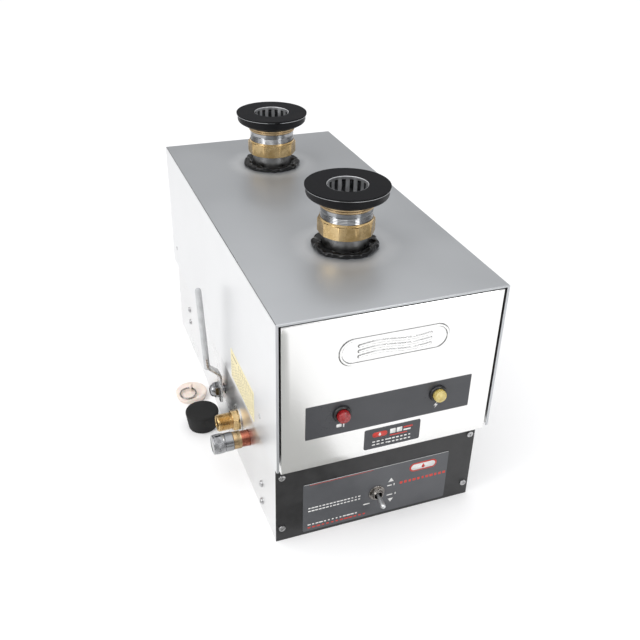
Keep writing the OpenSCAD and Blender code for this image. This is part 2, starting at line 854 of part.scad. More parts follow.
// Cap nut that closes the fill tube
module fill_cap() color("silver") difference() {
  union() {
    rod_x([wall_x - 43, fill_axis_y, fill_z], 11.6, 14);
    rod_x([wall_x - 29.5, fill_axis_y, fill_z], 11, 10);
  }
  rod_x([wall_x - 32.3, fill_axis_y, fill_z], fill_r + fit_gap, 20);
  box([wall_x - 39, fill_axis_y - 1, fill_z + 10], [wall_x - 33, fill_axis_y + 1, fill_z + 13]);
}

// ---- Loose stoppers ----

module solid_stopper() color("black")
  translate([-stopper_x, plug_y, 0])
    rotate_extrude()
      polygon([[0, 0], [plug_r - 4, 0], [plug_r - 3.2, 0.8], [plug_r, plug_h - 1.5],
        [plug_r - 1.5, plug_h], [0, plug_h]]);

// Places its children at the flat stopper, turned so that its pull ring lies to one side
module at_disc() {
  translate([-stopper_x, disc_y, 0])
    rotate([0, 0, disc_turn])
      children();
}

module disc_stopper() color("antiquewhite")
  at_disc()
    difference() {
      union() {
        rotate_extrude()
          polygon([[0, 0], [disc_r - 3, 0], [disc_r - 2.2, 0.8], [disc_r, 7.5], [disc_r - 1, 9.5],
            [disc_r - 3, 10], [0, 10]]);
        box([-1.2, -3, 9.5], [1.2, 3, 21]);
      }
      rod_x([-5, 0, ring_eye_z], ring_wire_r + 0.35, 10);
    }

// Pull ring through the stopper's eye, lying on the stopper
module stopper_ring() color("silver")
  at_disc()
    translate([0, 0, ring_eye_z])
      rotate([ring_droop, 0, 0])
        translate([0, -ring_r, 0])
          rotate_extrude()
            translate([ring_r, 0])
              circle(r = ring_wire_r, $fn = 24);

outer_casing();
front_cover();
rear_panel();
base_tray();
deck_plate();
casing_rivets();
side_screws();
cover_screws();
front_band();
front_sticker();
rating_label();
red_lamp_lens();
yellow_lamp_lens();
lamp_bezels();
lamp_nuts();
control_panel();
panel_overlay();
panel_screws();
toggle_body();
toggle_ring_nut();
toggle_lever();
tank_shell();
tank_lid();
tank_supports();
insulation_jacket();
insulation_lid();
heating_elements();
element_flange();
element_gasket();
element_bolts();
port_grommets();
port_adapters();
port_lock_rings();
port_flanges();
port_cone_gaskets();
port_top_gaskets();
near_union_nut();
far_union_nut();
high_limit_switch();
reset_button();
level_probe();
component_plate();
thermostat();
thermostat_spindle();
thermostat_bulb();
contactor();
contactor_armature();
terminal_block();
level_relay();
conduit_bushing();
drain_pipe();
valve_body();
valve_ball();
drain_lever();
drain_outlet();
fill_tube();
fill_cap();
solid_stopper();
disc_stopper();
stopper_ring();
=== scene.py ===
# %% [markdown]
# Water heater for a sanitising sink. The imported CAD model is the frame: it gives each part's
# place and each moving body. This script gives the parts their finished shapes and surfaces.
# Everything is in metres in the CAD's own axes: the floor is z = 0 and the front faces -Y.
# %% Load the frame
import json
import math

import bmesh
import bpy
from mathutils import Matrix, Vector, noise

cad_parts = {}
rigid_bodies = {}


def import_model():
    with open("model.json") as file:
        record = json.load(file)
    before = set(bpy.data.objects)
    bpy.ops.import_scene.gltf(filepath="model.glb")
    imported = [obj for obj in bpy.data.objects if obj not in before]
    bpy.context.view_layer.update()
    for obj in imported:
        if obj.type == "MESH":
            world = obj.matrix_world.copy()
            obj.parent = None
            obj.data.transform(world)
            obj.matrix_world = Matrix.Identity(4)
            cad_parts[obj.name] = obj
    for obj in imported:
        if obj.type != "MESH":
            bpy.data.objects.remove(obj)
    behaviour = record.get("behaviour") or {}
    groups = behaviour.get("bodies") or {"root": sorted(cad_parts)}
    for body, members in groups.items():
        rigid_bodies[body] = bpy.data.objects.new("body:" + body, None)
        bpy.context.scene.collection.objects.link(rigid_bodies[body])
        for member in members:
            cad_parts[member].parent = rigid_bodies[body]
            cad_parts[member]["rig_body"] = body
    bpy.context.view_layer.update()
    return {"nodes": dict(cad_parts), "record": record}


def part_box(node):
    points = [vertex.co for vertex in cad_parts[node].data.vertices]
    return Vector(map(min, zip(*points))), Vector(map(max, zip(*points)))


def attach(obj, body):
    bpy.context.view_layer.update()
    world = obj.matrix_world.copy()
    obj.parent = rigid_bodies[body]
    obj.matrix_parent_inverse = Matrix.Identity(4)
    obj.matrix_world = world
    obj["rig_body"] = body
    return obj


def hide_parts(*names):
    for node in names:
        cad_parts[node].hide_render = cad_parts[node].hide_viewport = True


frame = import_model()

MM = 0.001
nodes = frame["nodes"]
body_of = {name: obj["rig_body"] for name, obj in nodes.items()}
slot_of = {part["node"]: part["material_slot"] for part in frame["record"]["subparts"]}


# %% Meshes and objects
def linked(name, data):
    """A new object in the scene."""
    obj = bpy.data.objects.new(name, data)
    bpy.context.scene.collection.objects.link(obj)
    return obj


def mesh_from(bm, name):
    """Ends a mesh in the making."""
    mesh = bpy.data.meshes.new(name)
    bm.to_mesh(mesh)
    bm.free()
    return mesh


# %% [markdown]
# The camera comes first, because every later look is judged through it. It stands in front of
# the heater, to the left and above, with a little roll, as in a catalogue picture. The matrix
# is built from three angles, so that each can be read and changed on its own.
# %% Camera
azimuth, elevation, roll = (math.radians(v) for v in (-21.172, 31.161, 1.446))
back = Vector((math.sin(azimuth) * math.cos(elevation),
               -math.cos(azimuth) * math.cos(elevation), math.sin(elevation)))
right = Vector((0, 0, 1)).cross(back).normalized()
up = back.cross(right)
camera = linked("camera", bpy.data.cameras.new("camera"))
camera.data.sensor_width, camera.data.lens = 36, 44.93
camera.matrix_world = Matrix((right * math.cos(roll) + up * math.sin(roll),
                              up * math.cos(roll) - right * math.sin(roll),
                              back)).transposed().to_4x4()
camera.location = (-0.3048, -0.8342, 0.6643)
camera.data.clip_start, camera.data.clip_end = 0.01, 100
bpy.context.scene.camera = camera
print("camera looks down", round(math.degrees(elevation), 1), "degrees")

# %% [markdown]
# Polished steel looks like whatever stands round it, so the studio matters as much as the
# metal. Two soft boxes stand left and right of the camera and give the stacks their bright
# upright stripes. The sky is grey low down and nearly white higher up, and the top sheet
# mirrors the part between. A wide soft sun lights the floor evenly to near white. A grey card
# on the floor, which only reflections see, shades the left of the front cover, as a flag does
# in a studio.
# %% Studio
def flat_sheet(name, corners, surface_name, colour, rough):
    """A four-cornered sheet with a plain surface."""
    mesh = bpy.data.meshes.new(name)
    mesh.from_pydata(corners, [], [(0, 1, 2, 3)])
    surface = bpy.data.materials.new(surface_name)
    surface.use_nodes = True
    shader = surface.node_tree.nodes["Principled BSDF"]
    shader.inputs["Base Color"].default_value = (*colour, 1)
    shader.inputs["Roughness"].default_value = rough
    mesh.materials.append(surface)
    return linked(name, mesh)


floor_half = 9
floor = flat_sheet("floor", [(-floor_half, -floor_half, 0), (floor_half, -floor_half, 0),
                             (floor_half, floor_half, 0), (-floor_half, floor_half, 0)],
                   "white_floor", (0.93, 0.93, 0.93), 0.9)


def lamp(name, kind, heading, height, distance, power, size):
    """A light aimed at the middle of the heater. Heading is measured as the camera's azimuth is."""
    light = bpy.data.lights.new(name, kind)
    light.energy = power
    if kind == "SUN":
        light.angle = size[0]
    else:
        light.shape, light.size, light.size_y = "RECTANGLE", size[0], size[1]
    obj = linked(name, light)
    h, e = math.radians(heading), math.radians(height)
    out = Vector((math.sin(h) * math.cos(e), -math.cos(h) * math.cos(e), math.sin(e)))
    obj.location = Vector((0, 0, 0.2)) + out * distance
    obj.rotation_mode = "QUATERNION"
    obj.rotation_quaternion = (-out).to_track_quat("-Z", "Y")


lamp("sun", "SUN", -70, 58, 3, 1.0, [math.radians(70)])
lamp("left_box", "AREA", -72, 30, 1.9, 8, [0.5, 1.3])
lamp("right_box", "AREA", 28, 30, 2.1, 9, [0.5, 1.3])

flag = flat_sheet("flag", [(-0.6, -1.0, 0.002), (-0.02, -1.0, 0.002), (0.0, -0.245, 0.002),
                           (-0.6, -0.245, 0.002)], "grey_card", (0.4, 0.4, 0.39), 1.0)
flag.visible_camera = flag.visible_diffuse = flag.visible_shadow = False

world = bpy.data.worlds.new("studio")
bpy.context.scene.world = world
world.use_nodes = True
sky = world.node_tree
sky_place = sky.nodes.new("ShaderNodeTexCoord")
sky_parts = sky.nodes.new("ShaderNodeSeparateXYZ")
sky_ramp = sky.nodes.new("ShaderNodeValToRGB")
sky.links.new(sky_place.outputs["Generated"], sky_parts.inputs[0])
sky.links.new(sky_parts.outputs["Z"], sky_ramp.inputs[0])
sky.links.new(sky_ramp.outputs[0], sky.nodes["Background"].inputs["Color"])
SKY = ((0.0, 0.7), (0.2, 0.4), (0.4, 0.26), (0.6, 0.98), (0.75, 1.0), (1.0, 1.0))
while len(sky_ramp.color_ramp.elements) < len(SKY):
    sky_ramp.color_ramp.elements.new(0.5)
for stop, (height, grey) in zip(sky_ramp.color_ramp.elements, SKY):
    stop.position, stop.color = height, (grey, grey, grey * 1.01, 1)
bpy.context.scene.view_settings.view_transform = "Standard"
studio_surfaces = len(bpy.data.materials)

# %% [markdown]
# Every finish here is nodes, with no picture behind it. Real metal and rubber differ from a
# flat colour in three ways: the colour drifts a little over centimetres, the gloss changes
# where hands and cloths have rubbed, and the surface has a fine grain. One function builds
# those three from noise in Object coordinates, so the pattern is fixed to the part in metres.
# %% Node helpers
def add(tree, kind, settings=None, **inputs):
    """Adds a node. A socket is named with _ for a space, or i0, i1 by number."""
    made = tree.nodes.new(kind)
    for key, value in (settings or {}).items():
        setattr(made, key, value)
    for key, value in inputs.items():
        place = made.inputs[int(key[1:])] if key[0] == "i" and key[1:].isdigit() \
            else made.inputs[key.replace("_", " ")]
        if isinstance(value, bpy.types.NodeSocket):
            tree.links.new(value, place)
        else:
            place.default_value = value
    return made


def maths(tree, how, *values):
    """One Math node on numbers or sockets."""
    return add(tree, "ShaderNodeMath", {"operation": how},
               **{f"i{i}": v for i, v in enumerate(values)}).outputs[0]


def spread(tree, value, low, high, to_low=0.0, to_high=1.0):
    """A Map Range node, clamped."""
    return add(tree, "ShaderNodeMapRange", Value=value, From_Min=low, From_Max=high,
               To_Min=to_low, To_Max=to_high).outputs[0]


def cloud(tree, place, scale, detail=3.0, stretch=None, roughness=0.55):
    """Noise in a place, with an optional stretch along the axes."""
    if stretch:
        place = add(tree, "ShaderNodeMapping", i0=place, Scale=stretch).outputs[0]
    return add(tree, "ShaderNodeTexNoise", Vector=place, Scale=scale, Detail=detail,
               Roughness=roughness).outputs[0]


def blend_colour(tree, share, first, second):
    made = add(tree, "ShaderNodeMix", {"data_type": "RGBA"})
    for place, value in ((made.inputs[0], share), (made.inputs[6], first), (made.inputs[7], second)):
        if isinstance(value, bpy.types.NodeSocket):
            tree.links.new(value, place)
        else:
            place.default_value = value if isinstance(value, (int, float)) else (*value[:3], 1)
    return made.outputs[2]


# %% Finish function
def finish(name, light, dark, rough, metal=0.0, patch=30.0, grain=600.0, stretch=None, relief=0.02,
           wave=0.0, fixed=None, extra=None):
    """A finish from two colours, a roughness range, a drift scale and a grain (per metre, mm deep)."""
    made = bpy.data.materials.new(name)
    made.use_nodes = True
    tree = made.node_tree
    shader = tree.nodes["Principled BSDF"]
    place = add(tree, "ShaderNodeTexCoord").outputs["Object"]
    drift = spread(tree, cloud(tree, place, patch, 4.0), 0.32, 0.68)
    fine = cloud(tree, place, grain, 3.0, stretch)
    colour = blend_colour(tree, drift, dark, light)
    gloss = maths(tree, "ADD", maths(tree, "MULTIPLY", drift, 0.55), maths(tree, "MULTIPLY", fine, 0.45))
    gloss = spread(tree, gloss, 0.2, 0.8, rough[0], rough[1])
    height = maths(tree, "MULTIPLY", fine, relief * MM)
    if wave:
        swell = cloud(tree, place, 14.0, 1.0)
        height = maths(tree, "ADD", height, maths(tree, "MULTIPLY", swell, wave * MM))
    if extra:
        colour, gloss, height = extra(tree, place, colour, gloss, height)
    bump = add(tree, "ShaderNodeBump", Height=height, Strength=1.0, Distance=1.0).outputs[0]
    shader.inputs["Metallic"].default_value = metal
    for key, value in (fixed or {}).items():
        shader.inputs[key].default_value = value
    tree.links.new(colour, shader.inputs["Base Color"])
    tree.links.new(gloss, shader.inputs["Roughness"])
    tree.links.new(bump, shader.inputs["Normal"])
    return made


# %% [markdown]
# The casing's steel is brushed front to back. The sheet was rubbed clean round each port when
# the seals were fitted, which leaves a pale ring of finer scratches. That ring follows the
# distance from the port's axis, so it is made from two distances rather than painted.
# %% Metal finishes
port_low, port_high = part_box("port_flanges")
top_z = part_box("outer_casing")[1].z
port_r = (port_high.x - port_low.x) / 2
port_y = (port_low.y + port_r, port_high.y - port_r)
RING_IN, RING_MIDDLE, RING_OUT = 0.043, 0.052, 0.068


def rubbed_ring(tree, place, colour, gloss, height):
    for y in port_y:
        gap = add(tree, "ShaderNodeVectorMath", {"operation": "DISTANCE"}, i0=place,
                  i1=(0, y, top_z)).outputs["Value"]
        wobble = maths(tree, "MULTIPLY", cloud(tree, place, 45.0, 3.0), 0.012)
        gap = maths(tree, "ADD", gap, wobble)
        inner = spread(tree, gap, RING_IN, RING_MIDDLE)
        outer = spread(tree, gap, RING_MIDDLE, RING_OUT, 1.0, 0.0)
        ring = maths(tree, "MULTIPLY", inner, outer)
        gloss = maths(tree, "ADD", gloss, maths(tree, "MULTIPLY", ring, 0.1))
        colour = blend_colour(tree, maths(tree, "MULTIPLY", ring, 0.35), colour, (0.72, 0.73, 0.74))
    return colour, gloss, height


steel_top = finish("brushed_casing_steel", (0.5, 0.515, 0.53), (0.47, 0.485, 0.5), (0.36, 0.42), 0.72,
                   patch=7.0, grain=1.0, stretch=(1400, 60, 1400), relief=0.004, wave=0.1,
                   extra=rubbed_ring)
# A dark copy of the steel: painted shade on the casing's fold turns and painted dark reflection on the cover mark's
# slopes.
steel_painted_dark = finish("painted_shade_steel", (0.3, 0.3, 0.3), (0.2, 0.2, 0.2), (0.24, 0.34), 1.0,
                    patch=40.0, grain=900.0, relief=0.004)
# A lighter copy of the casing steel for the sides: painted light.
steel_side_painted_light = finish("side_steel_painted_light", (0.8, 0.805, 0.81), (0.76, 0.765, 0.77), (0.3, 0.36), 1.0,
                    patch=7.0, grain=1.0, stretch=(1400, 60, 1400), relief=0.004, wave=0.1)
steel_cover = finish("bright_cover_steel", (0.86, 0.86, 0.85), (0.83, 0.83, 0.82), (0.2, 0.25), 1.0,
                     patch=14.0, grain=1.0, stretch=(1500, 1500, 70), relief=0.005, wave=0.1)
# Middle of a painted shade spot on the base box's left wall, by the lever hub and the drain outlet.
PAINTED_SPOT_MIDDLE = (-0.1185, -0.052, 0.082)
# Heights where the painted shade band under the casing's lower edge begins and is full.
LIP_START, LIP_FULL = 0.1035, 0.1085


def painted_lip_shade(tree, place, colour, gloss, height):
    """Painted shade: a dark band under the casing's lower edge, and a dark spot round the pipes on the left wall,
    where shade and the brass's dark reflection fall.
    """
    apart = add(tree, "ShaderNodeSeparateXYZ", i0=place)
    drift = maths(tree, "MULTIPLY", cloud(tree, place, 60.0, 3.0), 0.003)
    high = maths(tree, "ADD", apart.outputs["Z"], drift)
    band = spread(tree, high, LIP_START, LIP_FULL, 0.0, 0.92)
    away = add(tree, "ShaderNodeVectorMath", {"operation": "DISTANCE"}, i0=place,
               i1=PAINTED_SPOT_MIDDLE).outputs["Value"]
    away = maths(tree, "ADD", away, maths(tree, "MULTIPLY", drift, 3.0))
    painted_spot = spread(tree, away, 0.02, 0.052, 0.6, 0.0)
    band = maths(tree, "MAXIMUM", band, painted_spot)
    return blend_colour(tree, band, colour, (0.02, 0.02, 0.022)), gloss, height


steel_base = finish("base_box_steel", (0.8, 0.8, 0.8), (0.75, 0.75, 0.75), (0.26, 0.34), 1.0,
                    patch=9.0, grain=1.0, stretch=(900, 60, 900), relief=0.004, wave=0.06,
                    extra=painted_lip_shade)
steel_tank = finish("tank_steel", (0.3, 0.3, 0.3), (0.16, 0.155, 0.15), (0.22, 0.42), 1.0,
                    patch=60.0, grain=1.0, stretch=(500, 500, 160), relief=0.01)
galvanised = finish("galvanised_sheet", (0.62, 0.64, 0.66), (0.44, 0.46, 0.48), (0.35, 0.55), 1.0,
                    patch=140.0, grain=240.0, relief=0.01)
brass = finish("worked_brass", (0.68, 0.5, 0.26), (0.46, 0.31, 0.13), (0.16, 0.34), 1.0,
               patch=90.0, grain=900.0, relief=0.012)
brass_dull = finish("aged_brass", (0.56, 0.42, 0.25), (0.4, 0.28, 0.15), (0.2, 0.38), 1.0,
                    patch=70.0, grain=800.0, relief=0.015)
copper = finish("handled_copper", (0.48, 0.17, 0.11), (0.2, 0.055, 0.035), (0.16, 0.36), 1.0,
                patch=80.0, grain=500.0, relief=0.012)
chrome = finish("chrome_plate", (0.36, 0.365, 0.375), (0.25, 0.255, 0.262), (0.05, 0.14), 1.0,
                patch=60.0, grain=700.0, relief=0.003)
satin = finish("satin_tail_steel", (0.86, 0.87, 0.88), (0.7, 0.71, 0.72), (0.36, 0.5), 1.0,
               patch=60.0, grain=700.0, relief=0.006)
zinc = finish("zinc_plated_steel", (0.74, 0.74, 0.73), (0.5, 0.5, 0.5), (0.2, 0.36), 1.0,
              patch=120.0, grain=900.0, relief=0.01)
fastener = finish("steel_fastener", (0.66, 0.66, 0.66), (0.34, 0.34, 0.35), (0.18, 0.34), 1.0,
                  patch=400.0, grain=1500.0, relief=0.008)
nickel = finish("dark_nickel", (0.4, 0.38, 0.36), (0.16, 0.15, 0.14), (0.16, 0.34), 1.0,
                patch=300.0, grain=1500.0, relief=0.006)
sheathed = finish("oxidised_sheath", (0.22, 0.2, 0.19), (0.1, 0.09, 0.09), (0.4, 0.6), 1.0,
                  patch=60.0, grain=500.0, relief=0.02)
print("metal finishes:", len(bpy.data.materials) - studio_surfaces)

# %% [markdown]
# Rubber is never quite black: it has a grey bloom and a fine mould texture, and it is glossier
# where it has been wetted. The panel's paint is a coarse wrinkle, so its grain is larger and
# deeper than that of the other finishes. The films on it are smooth with a soft sheen.
# %% Other finishes
rubber_flat = finish("gasket_rubber", (0.01, 0.0105, 0.012), (0.006, 0.006, 0.007), (0.5, 0.65),
                     patch=50.0, grain=1800.0, relief=0.02, fixed={"Specular IOR Level": 0.1})
rubber_cone = finish("cone_rubber", (0.009, 0.009, 0.01), (0.005, 0.005, 0.006), (0.34, 0.55),
                     patch=60.0, grain=1200.0, relief=0.03, fixed={"Specular IOR Level": 0.14})
rubber_wet = finish("glossy_seal_rubber", (0.006, 0.006, 0.007), (0.003, 0.003, 0.003), (0.08, 0.2),
                    patch=90.0, grain=300.0, relief=0.12, fixed={"Specular IOR Level": 0.25})
rubber_plug = finish("stopper_rubber", (0.02, 0.02, 0.02), (0.009, 0.009, 0.009), (0.55, 0.8),
                     patch=120.0, grain=1500.0, relief=0.05, fixed={"Specular IOR Level": 0.25})
rubber_pale = finish("pale_rubber", (0.86, 0.76, 0.69), (0.78, 0.67, 0.59), (0.42, 0.6),
                     patch=90.0, grain=1200.0, relief=0.03,
                     fixed={"Subsurface Weight": 0.15, "Subsurface Scale": 0.004})
paint = finish("wrinkle_paint", (0.026, 0.026, 0.027), (0.012, 0.012, 0.013), (0.36, 0.52),
               patch=70.0, grain=900.0, relief=0.16, fixed={"Specular IOR Level": 0.5})
film_dark = finish("dark_film", (0.044, 0.046, 0.052), (0.034, 0.036, 0.041), (0.26, 0.34),
                   patch=25.0, grain=900.0, relief=0.004)
film_panel = finish("panel_film", (0.085, 0.088, 0.096), (0.066, 0.069, 0.076), (0.3, 0.4),
                    patch=25.0, grain=900.0, relief=0.006)
film_cream = finish("cream_label", (0.8, 0.72, 0.45), (0.75, 0.67, 0.4), (0.4, 0.5),
                    patch=40.0, grain=900.0, relief=0.004)
ink_white = finish("white_ink", (0.82, 0.82, 0.8), (0.7, 0.7, 0.69), (0.4, 0.5), patch=500.0, grain=2500.0,
                   relief=0.002)
ink_red = finish("red_ink", (0.62, 0.045, 0.03), (0.5, 0.03, 0.02), (0.36, 0.46), patch=300.0, grain=2500.0,
                 relief=0.002)
ink_brown = finish("brown_ink", (0.2, 0.15, 0.08), (0.14, 0.1, 0.05), (0.4, 0.5), patch=400.0, grain=2500.0,
                   relief=0.002)
plastic_black = finish("black_plastic", (0.016, 0.016, 0.017), (0.01, 0.01, 0.011), (0.24, 0.4),
                       patch=60.0, grain=1400.0, relief=0.01)
plastic_red = finish("red_plastic", (0.6, 0.03, 0.02), (0.48, 0.02, 0.015), (0.3, 0.4),
                     patch=200.0, grain=1500.0, relief=0.01)
plastic_blue = finish("blue_plastic", (0.05, 0.12, 0.3), (0.035, 0.09, 0.23), (0.34, 0.46),
                      patch=60.0, grain=1500.0, relief=0.01)
lens_red = finish("red_lens", (0.5, 0.025, 0.03), (0.3, 0.01, 0.013), (0.12, 0.24), patch=260.0, grain=700.0,
                  relief=0.03, fixed={"Transmission Weight": 0.35, "IOR": 1.49, "Coat Weight": 0.5})
lens_amber = finish("amber_lens", (0.86, 0.74, 0.3), (0.62, 0.46, 0.1), (0.12, 0.24), patch=300.0, grain=700.0,
                    relief=0.03, fixed={"Transmission Weight": 0.3, "IOR": 1.49, "Coat Weight": 0.5})
ceramic = finish("white_ceramic", (0.82, 0.8, 0.75), (0.74, 0.71, 0.65), (0.3, 0.45),
                 patch=90.0, grain=1500.0, relief=0.01)
wool = finish("insulation_foam", (0.72, 0.63, 0.36), (0.52, 0.43, 0.2), (0.85, 0.98),
              patch=80.0, grain=500.0, relief=0.5)
vinyl = finish("grip_sleeve", (0.56, 0.57, 0.58), (0.42, 0.43, 0.44), (0.26, 0.4),
               patch=70.0, grain=1200.0, relief=0.01)
print("finishes in all:", len(bpy.data.materials) - studio_surfaces)

# %% [markdown]
# Each CAD part first gets the finish of its material slot. Parts that are seen close up are
# then rebuilt further down. Those hidden behind the covers keep their CAD shape, because it
# is right, and only need their surface.
# %% Finish for each slot
SLOT_FINISH = {
    "stainless_casing": steel_top, "stainless_polished": steel_cover, "stainless_dull": steel_tank,
    "galvanised": galvanised, "black_paint": paint, "label_dark": film_dark, "label_cream": film_cream,
    "brass": brass, "chrome": chrome, "steel_fastener": fastener, "rubber_black": rubber_flat,
    "rubber_beige": rubber_pale, "copper": copper, "lens_red": lens_red, "lens_amber": lens_amber,
    "black_plastic": plastic_black, "nickel_dark": nickel, "lever_zinc": zinc, "insulation": wool,
    "ceramic_white": ceramic, "incoloy": sheathed, "red_plastic": plastic_red,
    "blue_plastic": plastic_blue}
for name, obj in nodes.items():
    obj.data.materials.clear()
    obj.data.materials.append(SLOT_FINISH[slot_of[name]])
print("slots used:", len(set(slot_of.values())))

# %% [markdown]
# Most visible parts here are either turned on a lathe or folded from sheet. A turned part is
# a list of (radius, height) points carried round an axis, which is exact, light and easy to
# read. Nuts use the same lathe with a limit: no point may pass the flats of a polygon, and
# the curved chamfer marks of a real nut come out by themselves.
# %% Lathe
def along(point, direction, spin=0.0):
    """Matrix that stands Z along a direction at a point given in metres."""
    lean = Vector(direction).to_track_quat("Z", "Y").to_matrix().to_4x4()
    return Matrix.Translation(Vector(point)) @ lean @ Matrix.Rotation(spin, 4, "Z")


def turn(bm, profile, around=96, place=Matrix(), sides=0, flat=0.0, first_flat=0.0, skip=(), paint=0):
    """Turns points in mm about Z. A radius of 0 closes on the axis; skip leaves out strips."""
    rings = []
    for radius, height in profile:
        if radius <= 0:
            rings.append([bm.verts.new(place @ Vector((0, 0, height * MM)))])
            continue
        ring = []
        for i in range(around):
            angle = 2 * math.pi * i / around
            out = radius
            if sides:
                part = 2 * math.pi / sides
                out = min(radius, flat / math.cos((angle - first_flat + part / 2) % part - part / 2))
            ring.append(bm.verts.new(place @ Vector((out * math.cos(angle) * MM,
                                                     out * math.sin(angle) * MM, height * MM))))
        rings.append(ring)
    for k in range(len(rings) - 1):
        if k in skip:
            continue
        a, b = rings[k], rings[k + 1]
        for i in range(around):
            j = (i + 1) % around
            corners = [a[0], b[j], b[i]] if len(a) == 1 else \
                [a[i], a[j], b[0]] if len(b) == 1 else [a[i], a[j], b[j], b[i]]
            bm.faces.new(corners).material_index = paint


def nut(bm, corner, low, high, bore, place, first_flat=0.0, chamfer=1.0, paint=0):
    """A hexagon nut with chamfered corners at both ends and an eased bore."""
    sides = 6
    flat = corner * math.cos(math.pi / sides)
    steps = [0.0, 0.35, 0.65, 0.85, 1.0]
    rise = [(flat * 0.985 + (corner - flat * 0.985) * s, chamfer * s) for s in steps]
    outer = [(r, low + h) for r, h in rise] + [(r, high - h) for r, h in reversed(rise)]
    loop = [(bore, low + 0.5), (bore + 0.5, low)] + outer + [(bore + 0.5, high), (bore, high - 0.5)]
    turn(bm, loop + loop[:1], 192, place, sides, flat, first_flat, paint=paint)


def eased(points, ease=0.4):
    """Cuts each corner of a closed (radius, height) loop by a small bevel."""
    made = []
    for k, (r, h) in enumerate(points):
        here = Vector((r, h))
        for other in (points[k - 1], points[(k + 1) % len(points)]):
            way = Vector(other) - here
            made.append(tuple(here + way.normalized() * min(ease, way.length * 0.3)))
    return made + made[:1]


# %% Making a piece from a mesh
def piece(name, bm, finishes, stands_for=(), body=None, weld=0.004, angle=32.0, turn_out=True):
    """Welds, faces outwards, shades by angle, rides and takes the place of CAD parts."""
    if weld:
        bmesh.ops.remove_doubles(bm, verts=bm.verts, dist=weld * MM)
    if turn_out:
        bmesh.ops.recalc_face_normals(bm, faces=bm.faces)
    for face in bm.faces:
        face.smooth = True
    for edge in bm.edges:
        edge.smooth = len(edge.link_faces) == 2 and edge.calc_face_angle(0.0) < math.radians(angle)
    mesh = mesh_from(bm, name)
    for surface in finishes:
        mesh.materials.append(surface)
    obj = linked(name, mesh)
    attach(obj, body or body_of[stands_for[0]])
    if stands_for:
        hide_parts(*stands_for)
    print(name, len(mesh.polygons), "faces")
    return obj


def cad_copy(node):
    """A CAD part's mesh, merged and with its flat faces joined."""
    bm = bmesh.new()
    bm.from_mesh(nodes[node].data)
    bmesh.ops.remove_doubles(bm, verts=bm.verts, dist=0.001 * MM)
    bmesh.ops.dissolve_limit(bm, angle_limit=math.radians(0.4), verts=bm.verts, edges=bm.edges)
    return bm


def ease_edges(bm, width, segments=2, which=None, angle=30.0):
    """Bevels the sharp edges, or those that a test picks."""
    sharp = [e for e in bm.edges if len(e.link_faces) == 2
             and e.calc_face_angle(0.0) > math.radians(angle) and (which is None or which(e))]
    bmesh.ops.bevel(bm, geom=sharp, offset=width * MM, offset_type="OFFSET", segments=segments,
                    profile=0.5, affect="EDGES", clamp_overlap=True)


# %% [markdown]
# Threads, knurls and flutes all follow one rule: the radius rises and falls with a phase that
# depends on the angle and the height. A Geometry Nodes tree turns a flat grid into such a
# tube. One ridge with twist is a screw thread; many ridges with none are flutes. The ridges
# fade at both ends, so that the tube welds to the plain turned shape on either side.
# %% Geometry Nodes: ridged tube
def new_tree(name, inputs):
    """A geometry tree with named inputs; returns it and each input's identifier."""
    tree = bpy.data.node_groups.new(name, "GeometryNodeTree")
    tree.interface.new_socket("Geometry", in_out="INPUT", socket_type="NodeSocketGeometry")
    tree.interface.new_socket("Geometry", in_out="OUTPUT", socket_type="NodeSocketGeometry")
    found = {}
    for label, kind in inputs:
        found[label] = tree.interface.new_socket(label, in_out="INPUT",
                                                 socket_type="NodeSocket" + kind).identifier
    return tree, found


def end_tree(tree, geometry, surface):
    """Realize Instances, then Set Material, as every tree here ends."""
    whole = add(tree, "GeometryNodeRealizeInstances", i0=geometry).outputs[0]
    dressed = add(tree, "GeometryNodeSetMaterial", Geometry=whole, Material=surface).outputs[0]
    add(tree, "NodeGroupOutput", i0=dressed)


def run_tree(tree, found, values, mesh=None):
    """Puts the tree on a mesh, sets its inputs by identifier and returns the plain result."""
    carrier = linked("carrier", mesh or bpy.data.meshes.new("carrier"))
    modifier = carrier.modifiers.new(tree.name, "NODES")
    modifier.node_group = tree
    for label, value in values.items():
        modifier[found[label]] = value
    seen = carrier.evaluated_get(bpy.context.evaluated_depsgraph_get())
    result = bpy.data.meshes.new_from_object(seen)
    carrier.modifiers.clear()
    bpy.data.objects.remove(carrier)
    return result


ridge_tree, RIDGE = new_tree("ridged_tube", [
    ("Root radius", "Float"), ("Height", "Float"), ("Ridges", "Int"), ("Turns per metre", "Float"),
    ("Length", "Float"), ("Fade", "Float"), ("Around", "Int"), ("Along", "Int"), ("Material", "Material")])


def calc(how, *values):
    """One Math node of the ridged tube."""
    return maths(ridge_tree, how, *values)


given = add(ridge_tree, "NodeGroupInput").outputs
sheet = add(ridge_tree, "GeometryNodeMeshGrid", Size_X=1.0, Size_Y=1.0,
            Vertices_X=calc("ADD", given["Around"], 1.0),
            Vertices_Y=calc("ADD", given["Along"], 1.0)).outputs[0]
flat_place = add(ridge_tree, "ShaderNodeSeparateXYZ",
                 i0=add(ridge_tree, "GeometryNodeInputPosition").outputs[0])
share = calc("ADD", flat_place.outputs[0], 0.5)
rise = calc("MULTIPLY", calc("ADD", flat_place.outputs[1], 0.5), given["Length"])
phase = calc("SUBTRACT", calc("MULTIPLY", share, given["Ridges"]),
              calc("MULTIPLY", rise, given["Turns per metre"]))
tooth = calc("MULTIPLY", calc("PINGPONG", phase, 0.5), 2.0)
near_end = calc("MINIMUM", rise, calc("SUBTRACT", given["Length"], rise))
fade = calc("MINIMUM", calc("DIVIDE", near_end, given["Fade"]), 1.0)
radius = calc("ADD", given["Root radius"],
              calc("MULTIPLY", calc("MULTIPLY", tooth, fade), given["Height"]))
turned_by = calc("MULTIPLY", share, 2 * math.pi)
